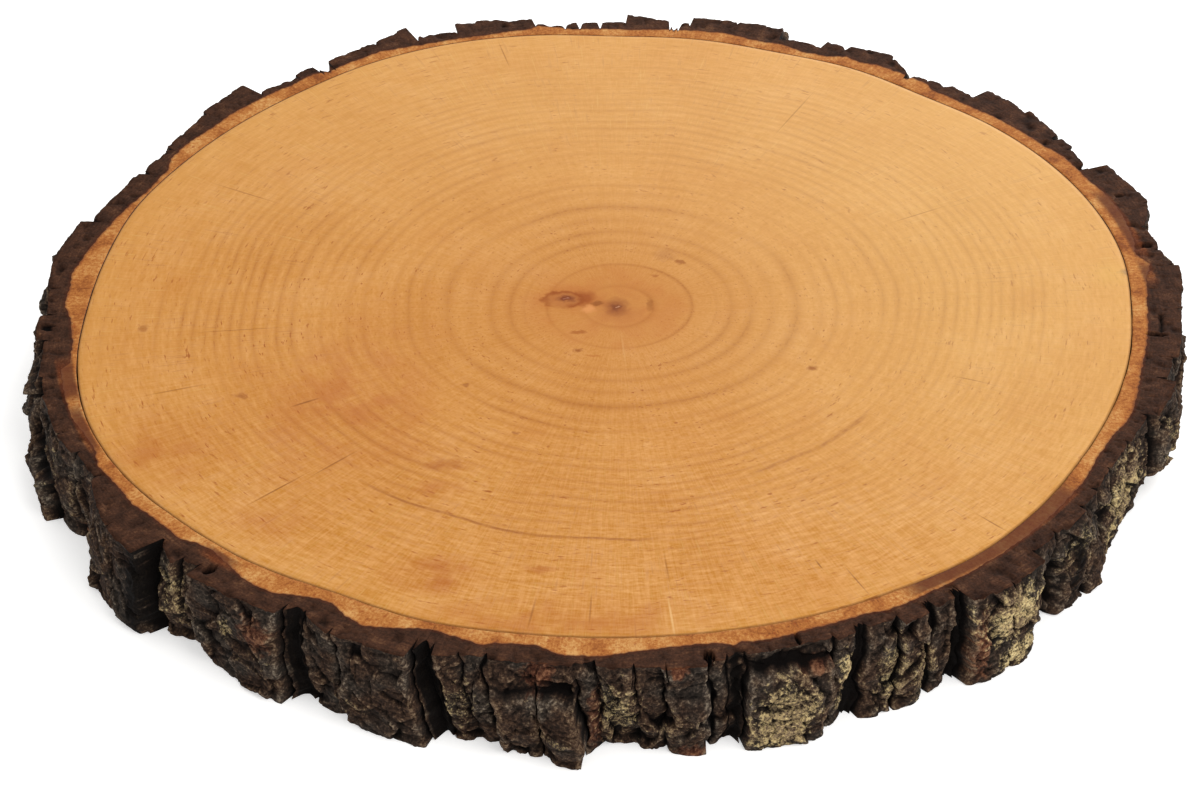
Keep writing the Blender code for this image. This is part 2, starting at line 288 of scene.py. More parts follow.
# %% Plates
PLATES = (
    (-93.2, -88.8, 168.4, 167.6, 168.8, 168.4, 0, 165.0),
    (-88.5, -84.4, 169.4, 170.2, 168.8, 170.0, 0, 166.0),
    (-84.1, -77.2, 167.8, 169.8, 170.6, 173.4, 24, 170.0),
    (-76.9, -68.8, 170.2, 170.4, 174.4, 176.4, 12, 169.0),
    (-68.5, -65.2, 170.6, 169.4, 171.8, 169.2, 0, 166.0),
    (-64.9, -61.0, 166.8, 167.5, 166.6, 168.8, 0, 165.5),
    (-60.7, -53.8, 168.0, 174.4, 172.0, 175.6, 0, 173.6),
    (-53.5, -48.9, 174.8, 176.4, 175.4, 173.8, 0, 165.6),
    (-48.1, -45.2, 167.6, 170.6, 169.2, 166.6, 0, 166.0),
    (-44.9, -43.3, 167.0, 166.4, 166.0, 165.4, 0, 164.6),
    (-43.0, -33.0, 171.2, 168.8, 168.2, 170.4, 0, 163.0),
    (-30.5, -27.4, 165.0, 168.0, 166.0, 165.6, 0, 165.3),
    (-27.1, -19.6, 168.2, 169.6, 167.6, 170.4, 0, 160.8),
    (-17.3, -15.2, 166.0, 164.5, 164.4, 163.0, 0, 162.8),
    (-14.9, -12.7, 163.8, 163.2, 163.4, 162.8, 0, 161.5),
    (-12.2, -8.3, 163.6, 163.4, 167.2, 167.6, 20, 163.2),
    (-8.1, -4.4, 163.4, 163.0, 167.8, 171.2, 20, 162.0),
    (-4.0, -2.5, 161.9, 161.7, 165.4, 161.4, 0, 160.8),
    (-2.1, 1.2, 163.4, 163.6, 159.8, 161.2, 0, 162.2),
    (1.5, 4.2, 164.0, 164.4, 162.4, 161.8, 0, 162.6),
    (4.4, 8.1, 164.6, 165.0, 164.2, 166.8, 0, 160.5),
    (8.7, 9.9, 163.6, 163.0, 163.2, 161.6, 0, 160.6),
    (12.1, 20.4, 162.4, 161.4, 166.4, 167.4, 24, 160.5),
    (20.9, 22.9, 162.8, 161.6, 163.8, 161.0, 0, 158.6),
    (24.3, 27.3, 161.0, 160.9, 163.8, 164.5, 0, 160.2),
    (27.6, 30.4, 165.2, 163.6, 164.6, 164.2, 0, 158.8),
    (31.5, 33.8, 162.6, 162.3, 163.4, 160.4, 0, 158.3),
    (35.0, 39.4, 166.4, 167.3, 166.6, 168.6, 0, 165.8),
    (39.7, 44.2, 167.0, 165.8, 168.6, 166.4, 0, 160.2),
    (44.8, 48.2, 161.0, 160.4, 161.0, 160.2, 0, 159.2),
    (48.5, 53.2, 160.8, 161.4, 161.4, 163.6, 0, 158.4),
    (53.6, 56.3, 160.4, 160.0, 163.6, 162.8, 0, 157.4),
    (57.0, 60.2, 158.4, 157.8, 162.0, 160.0, 16, 156.9),
    (60.6, 65.2, 158.2, 158.0, 159.4, 157.4, 0, 157.0),
    (65.7, 70.4, 158.6, 159.6, 157.8, 158.6, 0, 157.6),
    (70.8, 77.0, 163.2, 165.0, 157.8, 158.6, 8, 158.8),
    (77.5, 81.0, 162.2, 163.2, 163.8, 166.2, 0, 161.4),
    (81.3, 89.5, 164.8, 166.3, 164.4, 164.6, 0, 164.0),
    (89.8, 97.4, 166.8, 169.4, 165.4, 168.2, 0, 166.2),
    (97.7, 100.4, 167.8, 166.6, 168.0, 166.6, 0, 164.6),
    (100.8, 104.6, 166.2, 165.8, 166.0, 165.6, 0, 164.4),
    (105.0, 108.7, 166.2, 171.0, 167.0, 171.0, 0, 169.8),
    (109.0, 116.7, 171.8, 170.2, 170.6, 169.4, 0, 161.8),
    (117.8, 121.0, 164.4, 165.6, 163.8, 165.2, 0, 164.0),
    (121.3, 123.2, 167.0, 166.2, 166.6, 166.2, 0, 163.6),
    (124.1, 129.4, 166.4, 169.4, 166.2, 169.6, 0, 167.6),
    (129.7, 135.3, 168.3, 168.6, 169.2, 169.4, 0, 162.6),
    (136.0, 141.3, 162.6, 161.0, 163.4, 162.0, 0, 159.8),
    (141.6, 143.3, 160.5, 160.0, 161.4, 160.8, 0, 157.4),
    (144.3, 147.0, 160.2, 165.6, 161.2, 166.4, 0, 164.8),
    (147.4, 152.6, 166.8, 165.2, 167.8, 166.4, 0, 163.0),
    (153.1, 155.2, 164.0, 164.3, 165.0, 165.2, 0, 160.2),
    (156.0, 160.2, 160.8, 160.8, 161.8, 161.6, 0, 159.8),
    (160.8, 165.8, 167.2, 166.3, 168.2, 167.4, 0, 164.9),
    (166.2, 171.1, 166.2, 166.4, 167.4, 167.6, 0, 160.8),
    (171.5, 172.3, 162.4, 162.0, 163.4, 163.0, 0, 157.4),
    (173.8, 178.6, 163.0, 166.6, 164.4, 167.8, 0, 161.0),
    (179.0, 181.5, 161.6, 161.4, 162.8, 162.6, 0, 157.6),
    (182.1, 183.9, 161.4, 161.6, 162.8, 163.0, 0, 157.8),
    (184.5, 185.7, 162.6, 161.4, 163.8, 162.8, 0, 159.0),
    (186.1, 189.1, 160.4, 162.4, 161.8, 163.6, 0, 161.4),
    (189.5, 198.1, 165.8, 169.0, 167.2, 170.4, 0, 162.4),
    (198.6, 202.8, 163.8, 164.9, 165.4, 166.4, 0, 162.2),
    (203.4, 207.5, 171.6, 168.4, 172.4, 169.8, 0, 166.8),
    (207.9, 214.0, 168.0, 165.6, 169.4, 167.0, 0, 159.8),
    (216.1, 218.4, 165.3, 165.0, 166.8, 166.4, 0, 162.2),
    (218.8, 223.5, 163.2, 163.3, 165.2, 165.2, 0, 162.0),
    (224.1, 230.7, 170.4, 168.5, 171.6, 169.8, 0, 166.2),
    (231.1, 238.3, 167.0, 164.4, 168.6, 166.2, 0, 162.2),
    (238.8, 243.3, 163.0, 163.4, 164.8, 165.2, 0, 160.6),
    (244.0, 253.7, 163.9, 165.6, 165.8, 167.4, 0, 163.2),
    (254.3, 260.7, 168.8, 170.8, 170.4, 172.2, 0, 169.8),
    (261.0, 266.4, 170.6, 169.4, 171.8, 171.0, 0, 166.6),
)
FISSURE_LEAN = (                             # angle, and how far a fissure has moved round at the foot
    (-93.2, 0.0), (-60.0, 0.2), (-34.0, 0.5), (-19.0, 2.0), (-4.0, 1.0), (8.0, 0.0),
    (22.0, -1.2), (34.0, -0.2), (58.0, 0.0), (77.0, -1.2), (110.0, 1.5), (150.0, -1.5),
    (190.0, 1.8), (230.0, -1.2), (266.8, 0.0),
)
print(len(PLATES), "plates")

# %% [markdown]
# ## Columns up the bark
#
# To draw a plate's sides sharply, the mesh needs points exactly along them. So the columns of points are
# placed plate by plate: close steps across the plate, three down the wall to the fissure, a few across
# its floor and three up the next wall. Each column keeps how far it is from the plate's side, because
# plates are rounded there, and whether it is on a plate or in a fissure.

# %% Bark columns
COLUMN_STEP = 0.15                           # degrees, which is 0.43 mm at the bark
WALL = 0.26                                  # degrees over which a plate's side drops to the fissure
V_SHAPE = 0.75                               # how far a wide fissure's floor slopes up to its sides
DEEP = 3.0                                   # a fissure this deep is fibrous and gets the full painted shade


def bark_columns():
    """Arrays of angle, top reach, foot reach, ledge, fissure share and millimetres to the side."""
    columns = []
    for index, (start, end, top_a, top_b, foot_a, foot_b, ledge, floor) in enumerate(PLATES):
        count = math.ceil((end - start) / COLUMN_STEP)
        for t in np.linspace(0.0, 1.0, count + 1):
            side = min(t, 1.0 - t) * (end - start) * math.tau * AROUND / 360.0
            columns.append((start + (end - start) * t, top_a + (top_b - top_a) * t,
                            foot_a + (foot_b - foot_a) * t, ledge, 0.0, side))
        after = PLATES[(index + 1) % len(PLATES)]
        following = after[0] + (360.0 if index == len(PLATES) - 1 else 0.0)
        wall = min(WALL, (following - end) / 2.0)
        last, first = columns[-1], (following, after[2], after[4], after[6], 0.0, 0.0)
        deep = min(1.0, (min(top_b, after[2], foot_b, after[4]) - floor) / DEEP)
        low = (floor, floor, 0.0, deep, 0.0)
        for t in (0.33, 0.67, 1.0):
            columns.append((end + wall * t, *[a + (b - a) * t for a, b in zip(last[1:], low)]))
        span = following - end - 2 * wall
        for t in np.linspace(0.0, 1.0, math.ceil(span / COLUMN_STEP) + 1)[1:-1]:
            lift = V_SHAPE * abs(2.0 * t - 1.0) ** 1.5
            sides = [a if t < 0.5 else b for a, b in zip(last[1:3], first[1:3])]
            columns.append((end + wall + span * t, *[floor + (a - floor) * lift for a in sides],
                            0.0, deep * (1.0 - 0.5 * lift), 0.0))
        for t in (1.0, 0.67, 0.33):
            if span > 0.01 or t < 1.0:
                side = [a + (b - a) * t for a, b in zip(first[1:], low)]
                columns.append((following - wall * t, *side))
    return np.array(columns).T


angle, top_reach, foot_reach, ledge, in_fissure, to_side = bark_columns()
lean = np.interp(angle, *np.array(FISSURE_LEAN).T)
print(len(angle), "columns")

# %% [markdown]
# ## The rough face of the bark
#
# The reach of every point on the outer face comes first from the plate's own line, which runs from its
# foot to its top and steps back at a ledge. Relief is then laid on it in layers, from swells as wide as
# a thumb to grain the size of sand. A plate's level jumps from flake to flake, and thin cracks cut
# across it. In a fissure the fibres run upright instead. Near the two saw cuts the relief fades, since
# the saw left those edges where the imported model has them.

# %% Lines of the plates
ROW_STEP = 0.4                               # between the rows of points up the bark
RELIEF_FADE = 2.5                            # the relief fades over this height below and above a cut
BULGE = 0.9                                  # plates stand out this much more at half height
LEDGE_RISE = 1.6                             # height over which a plate steps back above its ledge

rows = np.linspace(0.0, THICKNESS, round(THICKNESS / ROW_STEP) + 1)
height = np.broadcast_to(rows, (len(angle), len(rows)))
turned = np.broadcast_to(angle[:, None], height.shape)
flat_place = place(turned, AROUND, height)
from_cut = np.minimum(height, THICKNESS - height)
free = 0.35 + 0.65 * smooth(from_cut / RELIEF_FADE)
plate = 1.0 - in_fissure[:, None]

rise = height / THICKNESS
ledge_at = ledge[:, None] + 0.9 * noise(flat_place * (1, 1, 0), (4, 4, 4), 3.1)
stepped = smooth((height - ledge_at) / LEDGE_RISE)
share = np.where(ledge[:, None] > 0, stepped, rise)
reach = foot_reach[:, None] + (top_reach - foot_reach)[:, None] * share
reach = reach + BULGE * np.sin(np.pi * rise)
print("plates reach from", round(reach.min(), 1), "to", round(reach.max(), 1), "mm before the relief")

# %% Relief
FLAKES = (                                   # width and height of a flake, seed, tilt
    (11.0, 12.0, 20, 1.3), (6.5, 3.4, 21, 0.9), (2.6, 1.6, 22, 0.7),
)
SWELLS = (                                   # depth and size of the lumps, from broad to fine, and seed
    (0.6, (14, 14, 22), 1.0), (0.2, (5, 5, 6), 2.0), (0.15, (1.4, 1.4, 0.8), 4.0), (0.07, 0.6, 18.0),
)

warp_angle = turned + 0.20 * noise(flat_place, 3.2, 11.0) + 0.4 * noise(flat_place, 9.0, 12.0)
warp_height = height + 0.5 * noise(flat_place, 3.0, 13.0) + 1.5 * noise(flat_place, 9.0, 14.0)
slab, big, small = (flakes(warp_angle, warp_height, *sizes) for sizes in FLAKES)
crack = np.abs(noise(flat_place, (9.0, 9.0, 8.0), 15.0))
relief = 1.9 * slab[0] + 0.9 * big[0] + 0.32 * small[0] - 0.6 * (1 - smooth(crack / 0.04))
relief = relief - 0.6 * (1 - smooth(slab[1] / 0.07)) - 0.2 * (1 - smooth(big[1] / 0.10))
for depth, size, seed in SWELLS:
    relief = relief + depth * noise(flat_place, size, seed)
print("relief from", round(relief.min(), 1), "to", round(relief.max(), 1), "mm")

# %% Rounded sides, bites and wandering fissures
ROUNDED = 1.5                                # width of the rounding along a plate's sides
CORNER = 2.6                                 # plates are rounded off this much at their lower corners
WANDER = 0.7                                 # degrees by which the fissures wander between the cuts
BITES = (                                    # angle, height, half width in degrees, half height, depth
    (44.0, 7.0, 1.7, 2.3, 5.5), (46.6, 0.0, 2.0, 3.0, 3.5), (-10.5, 1.0, 1.2, 2.0, 2.0),
    (46.9, 13.0, 2.5, 10.0, 3.4),
)

rounding = 0.7 * (1.0 - np.clip(to_side[:, None] / ROUNDED, 0.0, 1.0)) ** 2
rough_corner = 1.0 + 0.8 * noise(flat_place, (4, 4, 5), 16.0)
corner_off = np.hypot(to_side[:, None] / 5.0, height / 8.0)
rounding = rounding + CORNER * rough_corner * (1.0 - np.clip(corner_off, 0.0, 1.0)) ** 1.5
fibres = 0.4 * noise(flat_place, (0.9, 0.9, 6.0), 5.0) + 0.8 * noise(flat_place, (3, 3, 5), 6.0)
reach = reach + free * (plate * (relief - rounding) + (1.0 - plate) * fibres)
for middle, level, half_width, half_height, depth in BITES:
    off = np.hypot((turned - middle) / half_width, (height - level) / half_height)
    reach = reach - depth * smooth((1.15 - off + 0.2 * noise(flat_place, 2.0, 19.0)) / 0.4)
wander = WANDER * smooth(from_cut / 4.0) * (noise(flat_place, (8.0, 8.0, 9.0), 7.0)
                                            + 0.35 * noise(flat_place, (3.2, 3.2, 3.0), 17.0))
outer_angle = turned + lean[:, None] * (1.0 - rise) + wander
print("bark reach from", round(reach.min(), 1), "to", round(reach.max(), 1), "mm")

# %% [markdown]
# ## Two kinds of bark on the cut
#
# Where the saw went through, the bark shows two layers. Next to the wood is the living inner bark, tan
# and granular. Outside it is the dead outer bark, dark and crumbly. Each new layer of cork cuts a
# shallow bite out of the inner bark, so the line between them is scalloped. It is drawn as a row of
# points of its own, from a listed set of angles and reaches, so that each layer gets its own
# material with a sharp edge.

# %% The line between inner and outer bark
SCALLOPS = (
    (-180, 157), (-175, 157.5), (-173, 159.5), (-171, 161), (-170, 159.5), (-165, 159), (-157, 160),
    (-152, 162), (-150, 161.5), (-145, 160), (-143, 161.5), (-140, 160.5), (-131, 161), (-128, 160),
    (-123, 160.5), (-120, 159.5), (-118, 157), (-113, 156.5), (-110, 158), (-105, 159.7), (-98, 162.5),
    (-96, 163.5), (-94, 162.5), (-90, 162.7), (-88, 160.5), (-84, 159.5), (-80, 160.5), (-79, 163.5),
    (-74, 164), (-70, 164.2), (-68, 162.8), (-65, 162.3), (-62, 164.3), (-57, 163.2), (-55, 163.8),
    (-52, 162.3), (-47.5, 162), (-46, 160), (-44, 159), (-42, 160), (-38, 162.3), (-35, 162),
    (-33, 159.5), (-31, 157.3), (-29, 157.2), (-27, 160), (-25, 161.5), (-23, 160), (-20, 157),
    (-18, 156), (-14, 158.3), (-13, 158.7), (-12, 157), (-10, 156.3), (-8, 156), (-6.5, 158),
    (-5.5, 159.3), (-2, 159.2), (0, 158), (2, 156.8), (5, 156), (8, 155.5), (10, 156), (11, 157.5),
    (12, 156.5), (14, 157.3), (18, 156.5), (25, 156), (27, 157.3), (30, 157), (33, 156.5), (50, 155),
    (58, 154), (62, 152.8), (65, 153), (70, 155.3), (78, 154.3), (87, 155.8), (90, 156.2), (95, 158),
    (98, 161), (100, 158), (103, 160), (108, 161.5), (112, 161.5), (115, 160.5), (120, 161),
    (123, 159.5), (130, 158.5), (135, 157), (140, 156.5), (141, 158.5), (148, 159), (150, 157.5),
    (152, 158.5), (154, 156), (157, 155), (160, 157), (162, 156.5), (164, 157), (167, 158.5),
    (172, 158), (174, 157.5), (178, 156.5),
)
PITS = (                                     # angle, reach, half width and half length in mm, depth
    (-42.0, 165.2, 1.3, 2.0, 2.6), (8.5, 160.8, 1.3, 2.4, 4.0), (111.0, 165.0, 0.9, 0.9, 1.2),
    (17.3, 159.0, 0.5, 2.4, 1.6), (-48.3, 168.0, 0.9, 2.0, 3.0), (85.0, 158.0, 0.9, 2.4, 2.6),
    (87.0, 159.7, 4.5, 0.5, 1.4), (101.5, 163.0, 1.2, 1.4, 2.2), (-86.5, 167.0, 1.6, 1.6, 0.8),
)
INNER_ROWS = 7
OUTER_ROWS = 10
GAP = 0.34                                   # bark has come away from the wood by this much in front
GAP_BEHIND = 0.08                            # and by this much at the back
CHIP_DEPTH = 0.9                             # the saw chipped the outer edge by this much

wrapped = (angle + 180.0) % 360.0 - 180.0
scallop = np.interp(wrapped, *np.array(SCALLOPS).T, period=360.0)
scallop = scallop + 0.35 * noise(place(angle, AROUND, 0.0), 1.6, 8.0)
behind = smooth((np.abs(wrapped) - 70.0) / 60.0)
gap = (GAP + (GAP_BEHIND - GAP) * behind) * (1.0 + 0.5 * noise(place(angle, AROUND, 0.0), 7.0, 9.0))
inner = wood_reach(wrapped) + gap
chips = np.clip(noise(place(angle, AROUND, 0.0), 2.6, 31.0), 0.0, 1.0)
print("inner bark is", round(float((scallop - inner).mean()), 1), "mm wide on average")

# %% Faces of the saw cuts
def cut_face(edge_angle, edge_reach, seed, named_pits):
    """Angles, reaches, depths below the cut, rind values, and where the listed pits lie for their
    painted shade, from the outer edge inwards.
    """
    line = np.clip(scallop, inner + 0.8, edge_reach - 0.7)
    outward = np.linspace(1.0, 0.0, OUTER_ROWS + 1)[1:]
    inward = np.linspace(1.0, 0.0, INNER_ROWS + 1)[1:]
    radius = np.concatenate([line[:, None] + (edge_reach - line)[:, None] * outward,
                             inner[:, None] + (line - inner)[:, None] * inward], axis=1)
    share = (radius - inner[:, None]) / (edge_reach - inner)[:, None]
    turn = angle[:, None] + (edge_angle - angle)[:, None] * share ** 2
    at = place(turn, radius, 0.0)
    rind = radius - line[:, None]
    crumbs = np.clip(noise(at, 1.5, seed) - 0.12, 0.0, 1.0) * 0.55
    crumbs = crumbs + np.clip(noise(at, 4.0, seed + 1) - 0.30, 0.0, 1.0) * 1.2
    deep = smooth(rind / 0.6) * crumbs
    deep = deep + 0.05 * (1.0 + noise(at, 1.2, seed + 2)) * (rind < 0.0)
    deep = deep + chips[:, None] * smooth(1.0 - (edge_reach[:, None] - radius) / 1.6) * CHIP_DEPTH
    deep = np.maximum(deep, 0.0)
    pit_shade = np.zeros(radius.shape)
    for where, away, half_width, half_length, depth in named_pits:
        side = np.radians(turn - where) * away / half_width
        along = (radius - away) / half_length
        hole = smooth((1.2 - np.hypot(side, along) + 0.25 * noise(at, 1.0, seed + 3)) / 0.35)
        deep = np.maximum(deep, depth * hole)
        pit_shade = np.maximum(pit_shade, hole)
    return turn, radius, deep, rind, pit_shade


upper = cut_face(angle, reach[:, -1], 40.0, PITS)
lower = cut_face(outer_angle[:, 0], reach[:, 0], 50.0, ())
print("deepest pit", round(float(upper[2].max()), 1), "mm")

# %% [markdown]
# ## Spots on the bark
#
# Pale lichen grows on the weathered faces, most of it on the right of the front, and fresh breaks show
# reddish brown. Both are listed by place, as a botanist would note them down, and each spot's outline is
# made ragged with noise. Behind, where nothing is known, a few are scattered by a seeded draw. Flanks of
# plates that lie in shade are listed the same way and painted black as shade.

# %% Lichen, reddish breaks and painted shade on flanks
LICHEN = (                                   # angle, height, half width in degrees, half height, cover
    (-46, 18, 2.2, 13, 0.55), (-38.5, 18, 1.0, 4, 0.7), (-36, 12, 3.0, 6, 0.3), (-24, 8, 3.0, 5, 0.3),
    (-15, 14, 2.0, 12, 0.45), (-10, 12, 2.5, 8, 0.15), (-6, 9, 2.2, 2.5, 0.4), (0, 14, 2.4, 14, 0.6),
    (5, 10, 3.0, 9, 0.3), (15, 7, 3.2, 9, 0.95), (15.8, 13, 3.2, 11, 0.8), (22, 14, 1.4, 12, 0.75),
    (26.5, 13, 2.0, 13, 0.6), (29.5, 12, 2.0, 12, 0.55), (39.5, 20, 4.5, 11, 0.85),
    (41, 5, 3.5, 5, 0.8), (51.5, 20, 2.6, 10, 0.45),
    (57.5, 22, 2.0, 8, 0.3), (64, 18, 5.0, 14, 0.85), (74, 12, 3.0, 12, 0.55), (60, 8, 2.5, 7, 0.7),
    (-70, 20, 3.0, 8, 0.35), (-64, 16, 2.0, 10, 0.3), (-57, 14, 3.0, 10, 0.25),
)
BREAKS = (
    (18.5, 25.0, 1.6, 1.8, 0.7), (-7.5, 26, 1.6, 5, 0.8), (5.5, 29, 1.0, 2, 0.9), (6.7, 1, 1.4, 3, 0.7),
    (-2.2, 12, 0.8, 12, 0.6), (-35, 21, 2.0, 6, 0.6), (36, 14, 1.2, 12, 0.7), (-64, 3, 1.4, 3, 0.8),
)
SHADED = (                                   # flanks of plates that lie in shade, painted black as shade
    (-49.3, 15, 1.3, 22, 0.9), (47.2, 10, 1.2, 18, 0.85), (51.8, 14, 0.8, 12, 0.7),
)
RED_WEDGES = (                               # start and end angle, start and end reach on the cut face
    (-80, -74, 160, 164.6), (-72, -65, 161, 164), (-44, -41, 158, 162), (95, 98, 157.5, 161),
    (100, 112, 158, 162), (31, 55, 150.0, 155.6),
)
SPOTS_BEHIND = 26
CRUST = 0.22                                 # thickness of the lichen
FULL_SHADE_BELOW = 1.6                            # a hollow this much below what is round it gets the full painted shade
FULL_HIGHLIGHT_ABOVE = 0.8                             # and a crest this much above it gets the full painted highlight

scatter = np.random.default_rng(5)
behind_spots = [(*scatter.uniform((85, 3, 1.0, 3), (262, 27, 4.0, 10)), scatter.uniform(0.2, 0.7))
                for spot in range(SPOTS_BEHIND)]
ragged = noise(flat_place, 1.8, 60.0) + 0.7 * noise(flat_place, 0.8, 61.0)


def spots(table):
    """How thickly the listed spots cover each point of the outer face, 0 to 1."""
    cover = np.zeros(turned.shape)
    for middle, level, half_width, half_height, strength in table:
        off = np.hypot((outer_angle - middle) / half_width, (height - level) / half_height)
        cover = np.maximum(cover, strength * smooth(1.35 - off + 0.45 * ragged))
    return cover


print(len(LICHEN) + SPOTS_BEHIND, "spots of lichen")

# %% Cover, painted shade in hollows and painted highlight on crests
lichen = spots(LICHEN + tuple(behind_spots)) * plate
broken = spots(BREAKS)
reach = reach + CRUST * smooth(lichen * 2.0) * free * (1.0 + noise(flat_place, 0.9, 62.0))
tall = np.pad(reach, ((0, 0), (4, 4)), mode="edge")
beside = np.roll(reach, -4, axis=0) + np.roll(reach, 4, axis=0)
around = reach - (beside + tall[:, 8:] + tall[:, :-8]) / 4.0
wide = reach
for offset in (1, 2, 4, 7):
    tall = np.pad(wide, ((0, 0), (offset, offset)), mode="edge")
    wide = (np.roll(wide, -offset, axis=0) + np.roll(wide, offset, axis=0)
            + tall[:, 2 * offset:] + tall[:, :-2 * offset] + wide) / 5.0
# Painted shade: a point is darkened the further it lies below its smoothed surroundings, and fissures
# more.
hollow_shade = np.clip((wide - reach) / FULL_SHADE_BELOW + 1.3 * in_fissure[:, None], 0.0, 1.0)
hollow_shade = np.maximum(hollow_shade, spots(SHADED))
# Painted highlight: points that stand above their neighbours are drawn paler.
crest_highlight = np.clip(around / FULL_HIGHLIGHT_ABOVE, -1.0, 1.0)
print("lichen covers", round(float((lichen > 0.3).mean()) * 100), "% of the bark")

# %% [markdown]
# ## Four closed pieces of bark
#
# Each column of points is closed into a loop: up the outer face, in across the top cut, down by the
# wood and out across the bottom cut. Neighbouring loops are joined with rectangles. One ring of this
# fineness would be heavy to edit, so it is made as four lengths that meet in the depth of a fissure.

# %% Loops of points
SPLITS = (-18.45, 77.25, 173.0, 266.6)
BARK_NAMES = ("bark_front_right", "bark_back_right", "bark_back_left", "bark_front_left")
OUTER_BARK, SAWN_OUTER, SAWN_INNER, INNER_WALL = range(4)
PIT_SHADE_DEPTH = 1.1                               # a pit or crumb this deep in a saw cut gets full painted shade, black

top_height = THICKNESS - upper[2]
foot_height = lower[2]
edge_drop = CHIP_DEPTH * chips[:, None]
outer_height = edge_drop + (THICKNESS - 2.0 * edge_drop) * rise
loop_angle = np.concatenate([outer_angle, upper[0], lower[0][:, ::-1]], axis=1)
loop_reach = np.concatenate([reach, upper[1], lower[1][:, ::-1]], axis=1)
loop_height = np.concatenate([outer_height, top_height, foot_height[:, ::-1]], axis=1)
cut_zeros = np.zeros(upper[0].shape)
outer_zeros = np.zeros(reach.shape)


def along_loop(on_outer, on_top, on_foot):
    """Values of the outer face, the top cut and the bottom cut, in the order of a loop's points."""
    return np.concatenate([on_outer, on_top, on_foot[:, ::-1]], axis=1)


def red(turn, radius):
    """1 in the listed wedges of reddish bark on a cut face."""
    cover = np.zeros(radius.shape)
    wrap = (turn + 180.0) % 360.0 - 180.0
    for start, end, low, high in RED_WEDGES:
        across = np.minimum(wrap - start, end - wrap) / 3.0
        along = np.minimum(radius - low, high - radius) / 1.0
        cover = np.maximum(cover, smooth(np.minimum(across, along) + 0.6))
    return cover


loop_values = {
    "hollow_shade": along_loop(hollow_shade, cut_zeros, cut_zeros),
    "crest_highlight": along_loop(crest_highlight, cut_zeros, cut_zeros),
    "lichen": along_loop(lichen, cut_zeros, cut_zeros),
    "broken": along_loop(broken, red(*upper[:2]), cut_zeros),
    "rind": along_loop(outer_zeros, upper[3], lower[3]),
    # painted shade: pits, crumbs and chips in the saw cuts go black with their depth
    "pit_shade": along_loop(outer_zeros, np.maximum(upper[4], smooth(upper[2] / PIT_SHADE_DEPTH)),
                      smooth(lower[2] / PIT_SHADE_DEPTH)),
}
cut_looks = [SAWN_OUTER] * OUTER_ROWS + [SAWN_INNER] * INNER_ROWS
look_along = np.array([OUTER_BARK] * (len(rows) - 1) + cut_looks + [INNER_WALL] + cut_looks[::-1])
print("each loop has", loop_angle.shape[1], "points, and there are", len(angle), "loops")

# %% [markdown]
# ## Finishes of the bark
#
# Outer bark is dead cork. It has no gloss, and its near black brown comes from tannins. Its crests are
# painted a little paler as a highlight, its hollows and fissures are painted near black as shade, and
# lichen lies on it in a thin speckled crust. The sawn outer bark is the same cork cut clean, so it is
# dark chocolate with fine pale grains. The sawn inner bark is fresh living tissue, orange tan, with
# gritty stone cells and fine lines that run outward. In both cuts, pits and crumbs that sink in are
# painted black as shade.
# Patterns are measured on the bark itself, as millimetres round it, up it and out from the pith.

# %% Rough outer bark
rough_bark, tree, shader = new_material("alder_bark_grown_rough", Roughness=0.92, IOR=1.45,
                                        Specular_IOR_Level=0.12)
grown = node(tree, "Attribute", attribute_name="grown", out="Vector")
crest_highlight_here, hollow_shade_here, lichen_here, broken_here = (
    node(tree, "Attribute", attribute_name=name, out="Fac")
    for name in ("crest_highlight", "hollow_shade", "lichen", "broken"))
grain = node(tree, "TexNoise", {"Vector": grown, "Scale": 1 / 0.9, "Detail": 3.0, "Roughness": 0.65})
clouds = node(tree, "TexNoise", {"Vector": grown, "Scale": 1 / 9.0, "Detail": 2.0})
speckle = node(tree, "TexNoise", {"Vector": grown, "Scale": 1 / 0.8, "Detail": 5.0, "Roughness": 0.8})
# painted highlight: crests lighten the tone of the cork
tone = node(tree, "Math", {0: crest_highlight_here, 1: 0.16, 2: grain}, operation="MULTIPLY_ADD")
face, grey_cork, red_cork = (node(tree, "ValToRGB", {"Fac": tone}, stops=stops) for stops in (
    ((0.30, "#17100C"), (0.50, "#2C1F18"), (0.66, "#473528"), (0.90, "#8A735A")),
    ((0.30, "#15110E"), (0.50, "#29231E"), (0.66, "#433931"), (0.90, "#8A7D6C")),
    ((0.28, "#26140D"), (0.50, "#4A2A1D"), (0.80, "#8A5F44"))))
greyness = node(tree, "MapRange", {0: clouds, 1: 0.42, 2: 0.62})
redness = node(tree, "MapRange", {0: broken_here, 1: 0.15, 2: 0.75})
thick, crust_tone = speckle, 0.0
# crests also get more of the pale crust, as painted highlight flecks
for part, share in ((lichen_here, 0.36), (crest_highlight_here, 0.10)):
    thick = node(tree, "Math", {0: part, 1: share, 2: thick}, operation="MULTIPLY_ADD")
for part, share in ((clouds, 0.5), (grain, 0.9)):
    crust_tone = node(tree, "Math", {0: part, 1: share, 2: crust_tone}, operation="MULTIPLY_ADD")
crust = node(tree, "MapRange", {0: thick, 1: 0.70, 2: 0.88, 3: 0.0, 4: 0.90})
lichen_colour = node(tree, "ValToRGB", {"Fac": crust_tone}, stops=(
    (0.50, "#4C3A30"), (0.64, "#8C785C"), (0.76, "#BCA472"), (0.90, "#E2CD98")))
